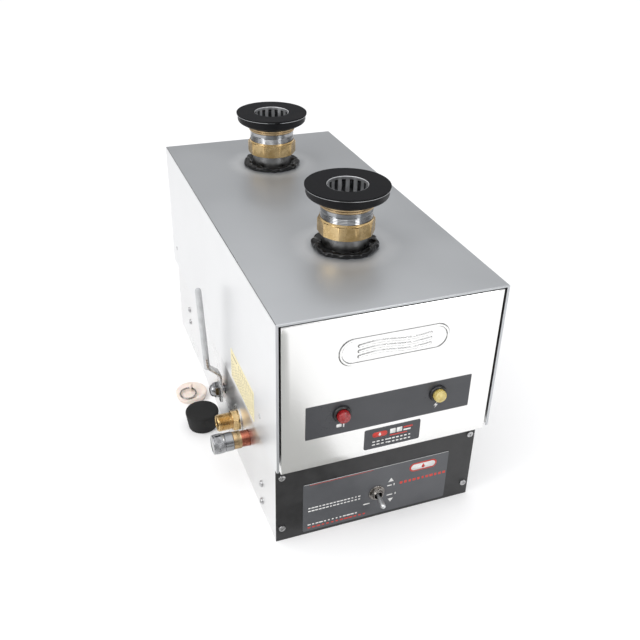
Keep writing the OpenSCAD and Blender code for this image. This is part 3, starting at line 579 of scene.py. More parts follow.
wrapped = add(ridge_tree, "ShaderNodeCombineXYZ",
              X=calc("MULTIPLY", radius, calc("COSINE", turned_by)),
              Y=calc("MULTIPLY", radius, calc("SINE", turned_by)), Z=rise)
rolled = add(ridge_tree, "GeometryNodeSetPosition", Geometry=sheet, Position=wrapped.outputs[0]).outputs[0]
rolled = add(ridge_tree, "GeometryNodeMergeByDistance", Geometry=rolled, Distance=1e-6).outputs[0]
end_tree(ridge_tree, rolled, given["Material"])


def ridges(bm, root, height, low, high, count=1, pitch=0.0, around=96, along_steps=8, fade=0.5, place=Matrix()):
    """Adds a ridged tube between two heights, in mm, to a mesh in the making."""
    tube = run_tree(ridge_tree, RIDGE, {
        "Root radius": root * MM, "Height": height * MM, "Ridges": count,
        "Turns per metre": 1 / (pitch * MM) if pitch else 0.0, "Length": (high - low) * MM,
        "Fade": fade * MM, "Around": around, "Along": along_steps})
    tube.transform(place @ Matrix.Translation((0, 0, low * MM)))
    tube.materials.clear()
    bm.from_mesh(tube)


# %% [markdown]
# Screws, rivets and the two port stacks are one shape in several places. A second tree takes
# points that carry a facing direction, stands a copy of the part on each, and gives each a
# seeded turn, since no fitter leaves all the screw slots in line.
# %% Geometry Nodes: a part on points
stand_tree, STAND = new_tree("part_on_points", [
    ("Part", "Object"), ("Most turn", "Float"), ("Seed", "Int"), ("Material", "Material")])
given = add(stand_tree, "NodeGroupInput").outputs
facing = add(stand_tree, "GeometryNodeInputNamedAttribute", {"data_type": "FLOAT_VECTOR"}, Name="facing")
aim = add(stand_tree, "FunctionNodeAlignRotationToVector", {"axis": "Z"}, Vector=facing.outputs[0]).outputs[0]
chance = add(stand_tree, "FunctionNodeRandomValue", Seed=given["Seed"], i3=given["Most turn"], i2=0.0)
twist = add(stand_tree, "FunctionNodeAxisAngleToRotation", Axis=(0, 0, 1), Angle=chance.outputs[1]).outputs[0]
aim = add(stand_tree, "FunctionNodeRotateRotation", {"rotation_space": "LOCAL"}, Rotation=aim,
          Rotate_By=twist).outputs[0]
shape = add(stand_tree, "GeometryNodeObjectInfo", {"transform_space": "ORIGINAL"}, Object=given["Part"])
stood = add(stand_tree, "GeometryNodeInstanceOnPoints", Points=given["Geometry"],
            Instance=shape.outputs["Geometry"], Rotation=aim).outputs[0]
end_tree(stand_tree, stood, given["Material"])


def stand(part, spots, surface, most_turn=0.0, seed=1):
    """Copies of a part (a mesh in the making) at (point, facing) pairs in metres."""
    bmesh.ops.remove_doubles(part, verts=part.verts, dist=0.004 * MM)
    bmesh.ops.recalc_face_normals(part, faces=part.faces)
    holder = linked("part", mesh_from(part, "part"))
    points = bpy.data.meshes.new("points")
    points.from_pydata([p for p, _ in spots], [], [])
    facing_of = points.attributes.new("facing", "FLOAT_VECTOR", "POINT")
    for k, (_, way) in enumerate(spots):
        facing_of.data[k].vector = way
    result = run_tree(stand_tree, STAND, {"Part": holder, "Most turn": most_turn, "Seed": seed,
                                          "Material": surface}, points)
    bpy.data.objects.remove(holder)
    bm = bmesh.new()
    bm.from_mesh(result)
    return bm


# %% [markdown]
# The casing is one sheet folded over the top and down both sides. A press leaves about half a
# wall's thickness more than a sharp corner, so the two long edges get a soft radius and the
# cut edges only lose their burr. The CAD shape is right, so it is copied and only eased.
# %% Folded sheet parts
casing_low, casing_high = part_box("outer_casing")
front_y = casing_low.y


def long_fold(edge):
    return all(abs(v.co.z - top_z) < 1e-5 and abs(abs(v.co.x) - casing_high.x) < 1e-5 for v in edge.verts)


casing = cad_copy("outer_casing")
ease_edges(casing, 1.5, 4, long_fold)
ease_edges(casing, 0.22, 1, angle=40)
# Painted light and shade: the sides take a lighter copy of the top's steel, and the turn of each long fold takes a
# dark copy, a painted shade line.
SIDE_LEAN, FOLD_LEAN = 0.8, 0.3
for face in casing.faces:
    lean = abs(face.normal.x)
    fold = lean > FOLD_LEAN and face.normal.z > FOLD_LEAN
    face.material_index = 1 if lean > SIDE_LEAN else 2 if fold else 0
piece("casing_sheet", casing, [steel_top, steel_side_painted_light, steel_painted_dark], ["outer_casing"], weld=0)
for name, node, ease, surface in (("rear_cover", "rear_panel", 0.5, steel_top),
                                  ("base_box", "base_tray", 0.3, steel_base),
                                  ("tank_top", "tank_lid", 0.3, steel_tank),
                                  ("panel_plate", "control_panel", 0.25, paint)):
    bm = cad_copy(node)
    ease_edges(bm, ease, 2)
    piece(name, bm, [surface], [node], weld=0, angle=20)

# %% [markdown]
# The front cover is a shallow folded pan with a mark pressed out from behind. Pressed steel
# has no sharp steps, so the face is a fine grid and each point is pushed out by a smooth
# function of its distance to the mark's lines: three steam waves inside a flat oval. The
# pan's thickness comes last, so that the back shows the same mark pressed in.
# %% Front cover
cover_low, cover_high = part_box("front_cover")
sheet_t = 1.2
mark_z, mark_reach, mark_r, mark_line = cover_low.z / MM + 134, 44.0, 13.75, 1.25
mark_height = (front_y - cover_low.y) / MM
WAVE_REACH, WAVE_RISE = 38, 1.6
MARK_HALF_WIDE, MARK_HALF_TALL = 60.5, 16.5


def pressed(x, z):
    """How far the face stands out at a point, in mm from the mark's middle."""
    z -= mark_z
    oval = abs(math.hypot(max(abs(x) - mark_reach, 0.0), z) - mark_r)
    gap = oval
    if abs(x) < WAVE_REACH + 2:
        for row in (-6.0, 0.0, 6.0):
            line = row + WAVE_RISE * math.sin(2 * math.pi * (x / (2 * WAVE_REACH) + 0.5))
            gap = min(gap, math.hypot(abs(z - line), max(abs(x) - WAVE_REACH, 0.0)))
    share = min(max((mark_line + 0.6 - gap) / 0.8, 0.0), 1.0)
    return mark_height * share * share * (3 - 2 * share)


def steps(low, fine_low, fine_high, high, fine, coarse):
    """Grid lines that are close together only where the mark is."""
    made = []
    for a, b, pitch in ((low, fine_low, coarse), (fine_low, fine_high, fine), (fine_high, high, coarse)):
        count = max(1, round((b - a) / pitch))
        made += [a + (b - a) * i / count for i in range(count)]
    return made + [high]


half_cover = cover_high.x / MM
FINE, COARSE = 0.5, 9.0
xs = steps(-half_cover, -MARK_HALF_WIDE, MARK_HALF_WIDE, half_cover, FINE, COARSE)
zs = steps(cover_low.z / MM, mark_z - MARK_HALF_TALL, mark_z + MARK_HALF_TALL, cover_high.z / MM, FINE, COARSE)
bm = bmesh.new()
rows = [[bm.verts.new((x * MM, front_y - pressed(x, z) * MM, z * MM)) for x in xs] for z in zs]
for a, b in zip(rows, rows[1:]):
    for i in range(len(xs) - 1):
        bm.faces.new((a[i], a[i + 1], b[i + 1], b[i]))
rim = [e for e in bm.edges if len(e.link_faces) == 1]
sides = bmesh.ops.extrude_edge_only(bm, edges=rim)["geom"]
for v in (g for g in sides if isinstance(g, bmesh.types.BMVert)):
    v.co.y = cover_high.y
bmesh.ops.recalc_face_normals(bm, faces=bm.faces)
ease_edges(bm, 1.1, 3, lambda e: all(v.co.y < front_y + 0.1 * MM for v in e.verts), angle=60)
bm.normal_update()
# The mark's sloping faces take the dark copy of the steel: painted dark reflection.
for face in bm.faces:
    at = face.calc_center_median() / MM
    near_mark = abs(at.x) < MARK_HALF_WIDE - FINE and abs(at.z - mark_z) < MARK_HALF_TALL - FINE
    face.material_index = int(near_mark and abs(face.normal.y) < 0.9)
cover = piece("cover_pan", bm, [steel_cover, steel_painted_dark], ["front_cover"], weld=0)


def use_modifier(obj, kind, **settings):
    """Adds a modifier, keeps its result in the mesh and removes it."""
    modifier = obj.modifiers.new(kind, kind)
    for key, value in settings.items():
        setattr(modifier, key, value)
    seen = obj.evaluated_get(bpy.context.evaluated_depsgraph_get())
    mesh = bpy.data.meshes.new_from_object(seen)
    obj.modifiers.clear()
    obj.data = mesh


use_modifier(cover, "SOLIDIFY", thickness=sheet_t * MM, offset=-1.0, use_even_offset=True)
print("cover thickness", sheet_t, "mm,", len(cover.data.polygons), "faces")

# %% [markdown]
# Each port is a stack: a black seal in the casing's hole, the tank's own tube, a ten-sided
# brass nut, a chrome adapter, a brass ring, a cone of rubber, and the flange with its flat
# rubber on top. All but the nuts sit on one body, so each part is turned once and stood on
# both ports.
# %% Port stacks
port_spots = [((0, y, top_z), (0, 0, 1)) for y in port_y]
BORE_R = 21.9


def port_part(name, node, profile, surface, fill=None, skip=(), ease=0.35, inside=None):
    """One part of both stacks. A second surface goes to the faces inside the bore."""
    bm = bmesh.new()
    turn(bm, eased(profile, ease) if ease else profile + profile[:1], 128, skip=skip)
    if fill:
        fill(bm)
    bm = stand(bm, port_spots, surface)
    if inside:
        for face in bm.faces:
            at = face.calc_center_median()
            face.material_index = int(min(math.hypot(at.x, at.y - y) for y in port_y) < BORE_R * MM)
    piece(name, bm, [surface, inside] if inside else [surface], [node], turn_out=False)


port_part("top_gaskets", "port_top_gaskets", [(22.7, 68.6), (45.4, 68.6), (45.4, 70), (22.7, 70)], rubber_flat,
          ease=0.4)
port_part("cone_gaskets", "port_cone_gaskets",
          [(24.1, 53), (31, 53), (36.1, 54.7), (42.6, 58.5), (44, 60.6), (44, 67.1), (24.1, 67.1)], rubber_cone,
          ease=0.7)
port_part("lock_rings", "port_lock_rings",
          [(24.1, 47.05), (28.6, 47.05), (29.7, 48), (29.7, 49.6), (29.2, 49.9), (29.2, 50.3), (29.7, 50.6),
           (29.7, 52), (28.8, 52.95), (24.1, 52.95)], brass_dull, ease=0.15)
TAIL_TOP, FLUTE_TOP, FLUTE_LOW = 69.6, 68.0, 36.5
port_part("flanges", "port_flanges",
          [(21.5, FLUTE_LOW), (21.5, 35), (24, 35), (24, 65.8), (25.4, 67.2), (44.6, 67.2), (45.25, 67.55),
           (45.25, 68.15), (44.6, 68.5), (22.6, 68.5), (22.5, 69.2), (22.1, TAIL_TOP), (21.6, 69.3),
           (21.5, FLUTE_TOP)],
          chrome, skip=(13,), ease=0,
          fill=lambda bm: ridges(bm, 21.5, 0.75, FLUTE_LOW, FLUTE_TOP, count=16, around=128, along_steps=16,
                                 fade=1.5), inside=satin)
THREAD_LOW, THREAD_HIGH = 20.5, 42.0
port_part("adapters", "port_adapters",
          [(27.55, THREAD_LOW), (27, 19.6), (25.6, 19.6), (25.6, 35.3), (24.1, 35.6), (24.1, 46.9), (27.8, 46.9),
           (28.15, 46.5), (28.15, 42.6), (27.55, THREAD_HIGH)], chrome, skip=(9,), ease=0,
          fill=lambda bm: ridges(bm, 27.55, 0.55, THREAD_LOW, THREAD_HIGH, pitch=1.6, around=128, along_steps=108,
                                 fade=1.2))

# %% Union nuts
nut_low, nut_high = 17.0, 35.0
NUT_SIDES, NUT_R, NUT_R_OUT, NUT_BORE, NUT_MOUTH = 10, 31, 31.3, 25.9, 28.3
flat_r = NUT_R * math.cos(math.pi / NUT_SIDES)
steps_in = [0.0, 0.3, 0.6, 0.85, 1.0]
low_rise = [(flat_r - 0.3 + (NUT_R_OUT - flat_r) * s, nut_low + 1.0 * s) for s in steps_in]
high_rise = [(NUT_R - (NUT_R_OUT - flat_r) * s, nut_high - 3.2 + 1.0 * s) for s in steps_in]
loop = [(NUT_BORE, nut_low)] + low_rise + high_rise + [
    (28.9, nut_high - 1.6), (28.9, nut_high - 0.5), (28.7, nut_high), (NUT_MOUTH, nut_high),
    (NUT_MOUTH, 19.4), (NUT_BORE, 19.2), (NUT_BORE, nut_low)]
for name, node, y in (("near_nut", "near_union_nut", port_y[0]), ("far_nut", "far_union_nut", port_y[1])):
    bm = bmesh.new()
    turn(bm, loop, 240, Matrix.Translation((0, y, top_z)), NUT_SIDES, flat_r)
    piece(name, bm, [brass], [node])

# %% [markdown]
# The black seals round the tubes are the roughest thing on the object: hand-cut rubber with
# sealant squeezed out under its lip. A clean ring would look wrong, so the lip is pushed in
# and out by fixed noise. The inner wall stays true, because the tube passes through it.
# %% Seals round the tubes
bm = bmesh.new()
seal_profile = eased([(25.5, -4.5), (34.4, -4.5), (34.4, -1.4), (31, -1.3), (31, 0.15), (35, 0.12), (36.4, 1.2),
                      (36.7, 3), (35.6, 5), (33, 5.8), (29.6, 4.9), (27, 3.4), (25.5, 3)], 0.4)
for y in port_y:
    turn(bm, seal_profile, 160, Matrix.Translation((0, y, top_z)))
for v in bm.verts:
    y = min(port_y, key=lambda middle: abs(v.co.y - middle))
    out = Vector((v.co.x, v.co.y - y, 0))
    height = (v.co.z - top_z) / MM
    if height > 0.1 and out.length > 26.5 * MM:
        lump = noise.noise(v.co * 70) * 2.0 + noise.noise(v.co * 190 + Vector((3, 1, 7))) * 1.3
        v.co += out.normalized() * lump * MM
        if height > 1:
            v.co.z += noise.noise(v.co * 110 + Vector((9, 4, 2))) * 1.9 * MM
piece("port_seals", bm, [rubber_wet], ["port_grommets"], angle=50)

# %% [markdown]
# Two indicator lamps sit in a dark band. Each is a black bezel with a moulded lens: upright
# flutes round its side and a domed end with stepped rings, which break the light up so that
# the lamp looks even from any side. The flutes come from the ridged tube.
# %% Indicator lamps
LENS_R = 7.0
lamp_spots = []
for name, node, surface in (("red_lens", "red_lamp_lens", lens_red), ("amber_lens", "yellow_lamp_lens", lens_amber)):
    low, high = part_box(node)
    middle = (low + high) / 2
    place = along((middle.x, front_y, middle.z), (0, -1, 0))
    lamp_spots.append(((middle.x, front_y, middle.z), (0, -1, 0)))
    bm = bmesh.new()
    ridges(bm, LENS_R - 0.55, 0.5, 3.2, 8.2, count=24, around=144, along_steps=6, fade=0.8, place=place)
    dome = [(LENS_R - 0.55, 8.2), (6.3, 8.5), (5.9, 8.55), (5.5, 8.95), (4.6, 9.0), (4.3, 9.3), (3.3, 9.4),
            (3.0, 9.65), (1.8, 9.75), (1.4, 9.9), (0, 9.98)]
    turn(bm, dome, 144, place)
    turn(bm, [(0, 1.05), (6.2, 1.05), (LENS_R - 0.55, 1.4), (LENS_R - 0.55, 3.2)], 144, place)
    piece(name, bm, [surface], [node], angle=24)
bm = bmesh.new()
turn(bm, [(0, 1), (7.05, 1), (7.05, 2.8), (7.4, 3.3), (8.3, 3.35), (9.2, 2.7), (9.75, 1.6), (9.75, 0.45),
          (9.5, 0.32), (6.4, 0.32), (6.4, -23.6), (6, -24), (0, -24)], 96)
piece("lamp_bodies", stand(bm, lamp_spots, plastic_black), [plastic_black], ["lamp_bezels"], turn_out=False)

# %% [markdown]
# Films and inks are thin but real: a film is about a quarter of a millimetre with rounded
# corners, and catches a thin line of light along its edge. The real one carries words. Words
# are left out here. Rows of blank dashes of seeded lengths keep the look of small print, and
# the symbols are plain: arrows, a drop and a bolt.
# %% Films
def upright(point, facing):
    """Matrix for a wall: local x runs right and y up for someone who looks at it."""
    out = Vector(facing)
    level = Vector((0, 0, 1)).cross(out)
    return Matrix.Translation(Vector(point)) @ Matrix((level, Vector((0, 0, 1)), out)).transposed().to_4x4()


def rounded(x0, z0, x1, z1, r, parts=6):
    """Outline of a rounded rectangle, in mm."""
    made = []
    for cx, cz, start in ((x1 - r, z0 + r, -90), (x1 - r, z1 - r, 0), (x0 + r, z1 - r, 90), (x0 + r, z0 + r, 180)):
        made += [(cx + r * math.cos(math.radians(start + 90 * k / parts)),
                  cz + r * math.sin(math.radians(start + 90 * k / parts))) for k in range(parts + 1)]
    return made


def slab(bm, outline, low, high, place, paint=0):
    """A flat shape between two depths, in mm, in the plane of place."""
    under = [bm.verts.new(place @ Vector((x * MM, z * MM, low * MM))) for x, z in outline]
    over = [bm.verts.new(place @ Vector((x * MM, z * MM, high * MM))) for x, z in outline]
    faces = [bm.faces.new(list(reversed(under))), bm.faces.new(over)]
    faces += [bm.faces.new((under[k - 1], under[k], over[k], over[k - 1])) for k in range(len(outline))]
    for face in faces:
        face.material_index = paint


def film(name, node, facing, corner, surface, hole=None):
    """A film in a CAD part's place, with round corners and an eased edge."""
    low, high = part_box(node)
    middle = (low + high) / 2
    out = Vector(facing)
    wide = (high.y - low.y if facing[0] else high.x - low.x) / MM / 2
    tall = (high.z - low.z) / MM / 2
    deep = (high.x - low.x if facing[0] else high.y - low.y) / MM / 2
    place = upright(middle, facing)
    bm = bmesh.new()
    slab(bm, rounded(-wide, -tall, wide, tall, corner), -deep, deep, place)
    ease_edges(bm, 0.1, 1, lambda e: all((place.inverted() @ v.co).z > 0 for v in e.verts))
    obj = piece(name, bm, [surface], [node])
    return obj, place @ Matrix.Translation((0, 0, deep * MM))


band, band_place = film("lamp_band", "front_band", (0, -1, 0), 0.8, film_dark)
badge_place = film("cover_badge", "front_sticker", (0, -1, 0), 2.2, film_dark)[1]
plate_place = film("rating_plate", "rating_label", (-1, 0, 0), 1.0, film_cream)[1]
overlay, overlay_place = film("switch_film", "panel_overlay", (0, -1, 0), 2.5, film_panel)


def carve(obj, tool):
    """Takes a shape in the making out of an object."""
    bmesh.ops.recalc_face_normals(tool, faces=tool.faces)
    cutter = linked("cutter", mesh_from(tool, "cutter"))
    use_modifier(obj, "BOOLEAN", operation="DIFFERENCE", solver="EXACT", object=cutter)
    bpy.data.objects.remove(cutter)


def cut(obj, place, radius, reach):
    """Drills a round hole of a radius, in mm, along Z of place."""
    tool = bmesh.new()
    turn(tool, [(0, -reach), (radius, -reach), (radius, reach), (0, reach)], 64, place)
    carve(obj, tool)


def cut_slot(obj, middle, size):
    """Cuts a square-sided slot of a size, in mm, round a point."""
    tool = bmesh.new()
    bmesh.ops.create_cube(tool, size=1.0, matrix=Matrix.Translation(middle) @ Matrix.Diagonal(
        (size[0] * MM, size[1] * MM, size[2] * MM, 1)))
    carve(obj, tool)


ring_low, ring_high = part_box("toggle_ring_nut")
switch_x, switch_z = (ring_low.x + ring_high.x) / 2, (ring_low.z + ring_high.z) / 2
panel_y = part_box("control_panel")[0].y
switch_place = along((switch_x, panel_y, switch_z), (0, -1, 0))
cut(overlay, switch_place, 6.1, 20)
for spot, way in lamp_spots:
    cut(cover, along(spot, way), 6.5, 6)
    cut(band, along(spot, way), 6.5, 6)
print("holes cut for the switch and the lamps")

# %% Geometry Nodes: rows of dashes
dash_tree, DASH = new_tree("rows_of_dashes", [
    ("Width", "Float"), ("Tall", "Float"), ("Across", "Int"), ("Rows", "Int"), ("Dash height", "Float"),
    ("Thickness", "Float"), ("Seed", "Int"), ("Material", "Material")])
given = add(dash_tree, "NodeGroupInput").outputs
spots = add(dash_tree, "GeometryNodeMeshGrid", Size_X=given["Width"], Size_Y=given["Tall"],
            Vertices_X=given["Across"], Vertices_Y=given["Rows"]).outputs[0]
pitch = maths(dash_tree, "DIVIDE", given["Width"], given["Across"])
long = add(dash_tree, "FunctionNodeRandomValue", Seed=given["Seed"], i2=0.45, i3=0.98).outputs[1]
size = add(dash_tree, "ShaderNodeCombineXYZ", X=maths(dash_tree, "MULTIPLY", pitch, long),
           Y=given["Dash height"], Z=given["Thickness"]).outputs[0]
dash = add(dash_tree, "GeometryNodeMeshCube", Size=(1, 1, 1)).outputs[0]
laid = add(dash_tree, "GeometryNodeInstanceOnPoints", Points=spots, Instance=dash, Scale=size).outputs[0]
end_tree(dash_tree, laid, given["Material"])


def dashes(bm, place, x0, z0, x1, z1, across, rows, high, seed, paint=0):
    """Rows of blank dashes in a wall's plane, in mm."""
    mesh = run_tree(dash_tree, DASH, {
        "Width": (x1 - x0) * MM, "Tall": (z1 - z0) * MM, "Across": across, "Rows": rows,
        "Dash height": high * MM, "Thickness": 0.04 * MM, "Seed": seed})
    mesh.transform(place @ Matrix.Translation(((x0 + x1) / 2 * MM, (z0 + z1) / 2 * MM, 0.02 * MM)))
    mesh.materials.clear()
    first = len(bm.faces)
    bm.from_mesh(mesh)
    bm.faces.ensure_lookup_table()
    for face in bm.faces[first:]:
        face.material_index = paint


# %% Printed marks
INK = 0.04
DROP = [(0, 4.4), (-1.1, 2.2), (-2.1, 0.6), (-2.4, -0.8), (-1.9, -2.2), (-0.8, -3), (0.8, -3), (1.9, -2.2),
        (2.4, -0.8), (2.1, 0.6), (1.1, 2.2)]
BOLT = [(0.8, 3.1), (-2.0, -0.4), (-0.2, -0.3), (-1.0, -3.1), (2.0, 0.6), (0.2, 0.4)]


def moved(outline, dx, dz, scale=1.0):
    return [(x * scale + dx, z * scale + dz) for x, z in outline]


def marks(name, place, shapes, body, rows=()):
    """Thin inked shapes: (outline, ink number, layer). Ink 0 is white, 1 red and 2 brown."""
    bm = bmesh.new()
    for outline, paint, layer in shapes:
        slab(bm, outline, layer * INK, (layer + 1) * INK, place, paint)
    for x0, z0, x1, z1, across, count, high, seed, paint in rows:
        dashes(bm, place, x0, z0, x1, z1, across, count, high, seed, paint)
    piece(name, bm, [ink_white, ink_red, ink_brown], body=body, weld=0, turn_out=False)


band_mid = (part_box("front_band")[0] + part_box("front_band")[1]) / 2
lamp_dx = [(spot[0] - band_mid.x) / MM for spot, _ in lamp_spots]
lamp_dz = (lamp_spots[0][0][2] - band_mid.z) / MM
marks("lamp_symbols", band_place, [
    (rounded(lamp_dx[0] - 5.4, lamp_dz - 16.6, lamp_dx[0] + 0.2, lamp_dz - 12.6, 0.7), 0, 0),
    (rounded(lamp_dx[0] + 1.8, lamp_dz - 17.4, lamp_dx[0] + 3.2, lamp_dz - 13.2, 0.3), 0, 0),
    (moved(BOLT, lamp_dx[1] - 0.5, lamp_dz - 15, 1.3), 0, 0)], "front_cover")
marks("badge_print", badge_place, [
    (rounded(-23, 1.5, -6, 8, 3.2), 1, 0), (moved(DROP, -14.5, 4.5, 0.6), 0, 1),
    (rounded(-3, 2.4, 3.4, 8.4, 0.6), 0, 0), (rounded(4.6, 2.4, 11, 8.4, 0.6), 0, 0),
    (rounded(12.4, 2.4, 21, 4.4, 0.6), 0, 0), (rounded(12.4, 6.0, 23, 8.0, 0.6), 1, 0),
    (rounded(-3, -0.6, 17, 0.8, 0.4), 1, 0)],
    "front_cover", [(-21, -8.2, -6, -4.2, 4, 2, 1.3, 3, 0), (-3, -8.6, 20, -4.2, 6, 2, 1.5, 5, 0)])
high_mid = (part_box("panel_overlay")[0].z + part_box("panel_overlay")[1].z) / 2 / MM


def at_height(x0, z0, x1, z1, r):
    """A rounded rectangle on the panel film, with heights from the floor."""
    return rounded(x0, z0 - high_mid, x1, z1 - high_mid, r)


marks("panel_print", overlay_place, [
    (moved([(-3.4, -2.4), (3.4, -2.4), (0, 3.2)], 17, 50 - high_mid), 0, 0),
    (moved([(-3.4, 2.4), (0, -3.2), (3.4, 2.4)], 18, 20 - high_mid), 0, 0),
    (at_height(12.6, 41.6, 18.4, 43.2, 0.4), 0, 0),
    (at_height(20.6, 41, 21.8, 44, 0.3), 0, 0),
    (at_height(13, 27.4, 20, 29, 0.4), 0, 0),
    (at_height(23, 27, 24.2, 30, 0.3), 0, 0),
    (at_height(-15.5, 21.6, -7.5, 23.4, 0.5), 0, 0),
    (at_height(39, 54.5, 73, 66.5, 5.9), 1, 0),
    (at_height(41, 56.4, 71, 64.6, 4), 0, 1),
    (moved(DROP, 56, 60 - high_mid, 0.85), 1, 2),
    (at_height(-80, 70.6, -6, 71.2, 0.2), 1, 0),
    (at_height(-86.6, 72.1, 86.6, 72.5, 0.15), 0, 0)],
    "control_panel", [(-80, 33.2 - high_mid, -21, 37.4 - high_mid, 15, 2, 1.5, 11, 0),
                      (-80, 13 - high_mid, -24, 13.1 - high_mid, 13, 1, 1.6, 13, 0),
                      (-80, 8.6 - high_mid, -14, 8.7 - high_mid, 13, 1, 2.0, 17, 1),
                      (30, 42.4 - high_mid, 84, 42.5 - high_mid, 11, 1, 3.4, 19, 1)])
marks("plate_print", plate_place, [
    (rounded(-42, 13, -20, 14.4, 0.6), 2, 0)], "frame",
    [(-12, 8.6, 42, 15, 8, 3, 0.8, 23, 2), (-42, -16, 42, 3.6, 13, 6, 0.8, 29, 2)])

# %% [markdown]
# The switch is a bat-handle toggle. Its bushing is threaded, so that a ring nut can clamp the
# panel from the front over a toothed washer. The bat thickens towards its tip, which helps a
# wet thumb, and it swings on a small cross pin inside the bushing.
# %% Toggle switch
bm = bmesh.new()
turn(bm, [(4.9, 6), (5.6, 6), (5.75, 5.7)], 96, switch_place)
ridges(bm, 5.75, 0.28, -1.5, 5.7, pitch=0.9, along_steps=64, fade=0.6, place=switch_place)
turn(bm, [(5.75, -1.5), (9, -1.5), (9, -2.5), (4.9, -2.5), (4.9, 6)], 96, switch_place)
box_low, box_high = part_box("toggle_body")
CASE_BACK, TAB_LONG, TAB_STEP = 2.6, 9, 9
case_low = Vector((box_low.x, panel_y + CASE_BACK * MM, box_low.z))
case_high = Vector((box_high.x, box_high.y - TAB_LONG * MM, box_high.z))
case = [bm.verts.new((x, y, z)) for x in (case_low.x, case_high.x) for y in (case_low.y, case_high.y)
        for z in (case_low.z, case_high.z)]
made = [bm.faces.new([case[i] for i in loop]) for loop in
        ((0, 1, 3, 2), (4, 6, 7, 5), (0, 4, 5, 1), (2, 3, 7, 6), (0, 2, 6, 4), (1, 5, 7, 3))]
bmesh.ops.bevel(bm, geom=list({e for f in made for e in f.edges}), offset=0.6 * MM, segments=2, profile=0.5,
                affect="EDGES")
for face in bm.faces:
    face.material_index = 1 if face.calc_center_median().y > panel_y + (CASE_BACK - 0.05) * MM else 0
for k in (-1, 0, 1):
    tab = upright((switch_x, case_high.y - 0.5 * MM, switch_z + k * TAB_STEP * MM), (0, 1, 0))
    slab(bm, rounded(-3, -0.4, 3, 0.4, 0.3, 2), 0, TAB_LONG, tab)
piece("switch_body", bm, [nickel, plastic_black], ["toggle_body"])
bm = bmesh.new()
ring_place = along((switch_x, panel_y - 0.3 * MM, switch_z), (0, -1, 0))
ridges(bm, 9.3, 0.65, 0.2, 1.0, count=20, around=160, along_steps=2, fade=0.1, place=ring_place)
turn(bm, [(9.3, 1.0), (6.05, 1.0), (6.05, 0.2), (9.3, 0.2)], 160, ring_place)
nut(bm, 8.6, 1.05, 3.6, 6.05, ring_place, first_flat=math.pi / 6, chamfer=0.7)
piece("switch_ring", bm, [nickel], ["toggle_ring_nut"])

BAT_LEAN = math.radians(12)
bat_place = along((switch_x, panel_y, switch_z), (0, -math.cos(BAT_LEAN), -math.sin(BAT_LEAN)))
bm = bmesh.new()
turn(bm, [(0, -3.9), (1.6, -3.9), (2, -3.4), (2, 3), (1.75, 4.6), (1.8, 6.5), (2.4, 9.5), (2.75, 13), (2.9, 16),
          (2.9, 18), (2.85, 19.5), (2.5, 20.7), (1.8, 21.5), (0.9, 21.9), (0, 22)], 64, bat_place)
turn(bm, [(0, -4.5), (1.2, -4.5), (1.5, -4.2), (1.5, 4.2), (1.2, 4.5), (0, 4.5)], 32,
     along((switch_x, panel_y, switch_z), (1, 0, 0)))
piece("switch_bat", bm, [satin], ["toggle_lever"])

# %% [markdown]
# All the screws are cross-recess pan heads. The head is turned, and the recess is cut with two
# tapered bars, so the mesh has a true hollow that shades by itself. Rivets are domed. Each
# kind is made once and stood on its spots by the tree; the screws are turned by chance about their own axis.
# %% Screws and rivets
def screw_head(head_r, head_h, shank_r, shank, reach):
    """A pan-head screw with its underside at height 0 and a cross recess."""
    bm = bmesh.new()
    turn(bm, [(0, -shank), (shank_r - 0.4, -shank), (shank_r, -shank + 0.5), (shank_r, 0), (head_r - 0.2, 0),
              (head_r, 0.25), (head_r, head_h * 0.45), (head_r * 0.93, head_h * 0.75), (head_r * 0.75, head_h * 0.93),
              (head_r * 0.5, head_h), (0, head_h)], 48)
    bmesh.ops.recalc_face_normals(bm, faces=bm.faces)
    screw = linked("screw", mesh_from(bm, "screw"))
    for turned_to in (0, math.pi / 2):
        tool = bmesh.new()
        wedge = [(-reach, head_h + 1), (-reach, head_h - 0.15), (-reach * 0.45, head_h - 1.35),
                 (reach * 0.45, head_h - 1.35), (reach, head_h - 0.15), (reach, head_h + 1)]
        slab(tool, wedge, -0.42, 0.42, Matrix.Rotation(turned_to, 4, "Z") @ Matrix.Rotation(math.pi / 2, 4, "X"))
        carve(screw, tool)
    done = bmesh.new()
    done.from_mesh(screw.data)
    bpy.data.objects.remove(screw)
    return done


def islands(node):
    """The box of each separate solid in a CAD part."""
    bm = bmesh.new()
    bm.from_mesh(nodes[node].data)
    bmesh.ops.remove_doubles(bm, verts=bm.verts, dist=0.001 * MM)
    left, found = set(bm.verts), []
    while left:
        group, edge = set(), [left.pop()]
        while edge:
            v = edge.pop()
            group.add(v)
            for e in v.link_edges:
                other = e.other_vert(v)
                if other in left:
                    left.remove(other)
                    edge.append(other)
        xs_, ys_, zs_ = ([v.co[k] for v in group] for k in range(3))
        found.append((Vector((min(xs_), min(ys_), min(zs_))), Vector((max(xs_), max(ys_), max(zs_)))))
    bm.free()
    return sorted(found, key=lambda pair: tuple(pair[0]))


def side_spots(node, head):
    """Where a screw or rivet meets its side wall, from the solid's outer end."""
    spots = []
    for low, high in islands(node):
        way = -1 if low.x + high.x < 0 else 1
        outer = low.x if way < 0 else high.x
        spots.append(((outer - way * head * MM, (low.y + high.y) / 2, (low.z + high.z) / 2), (way, 0, 0)))
    return spots


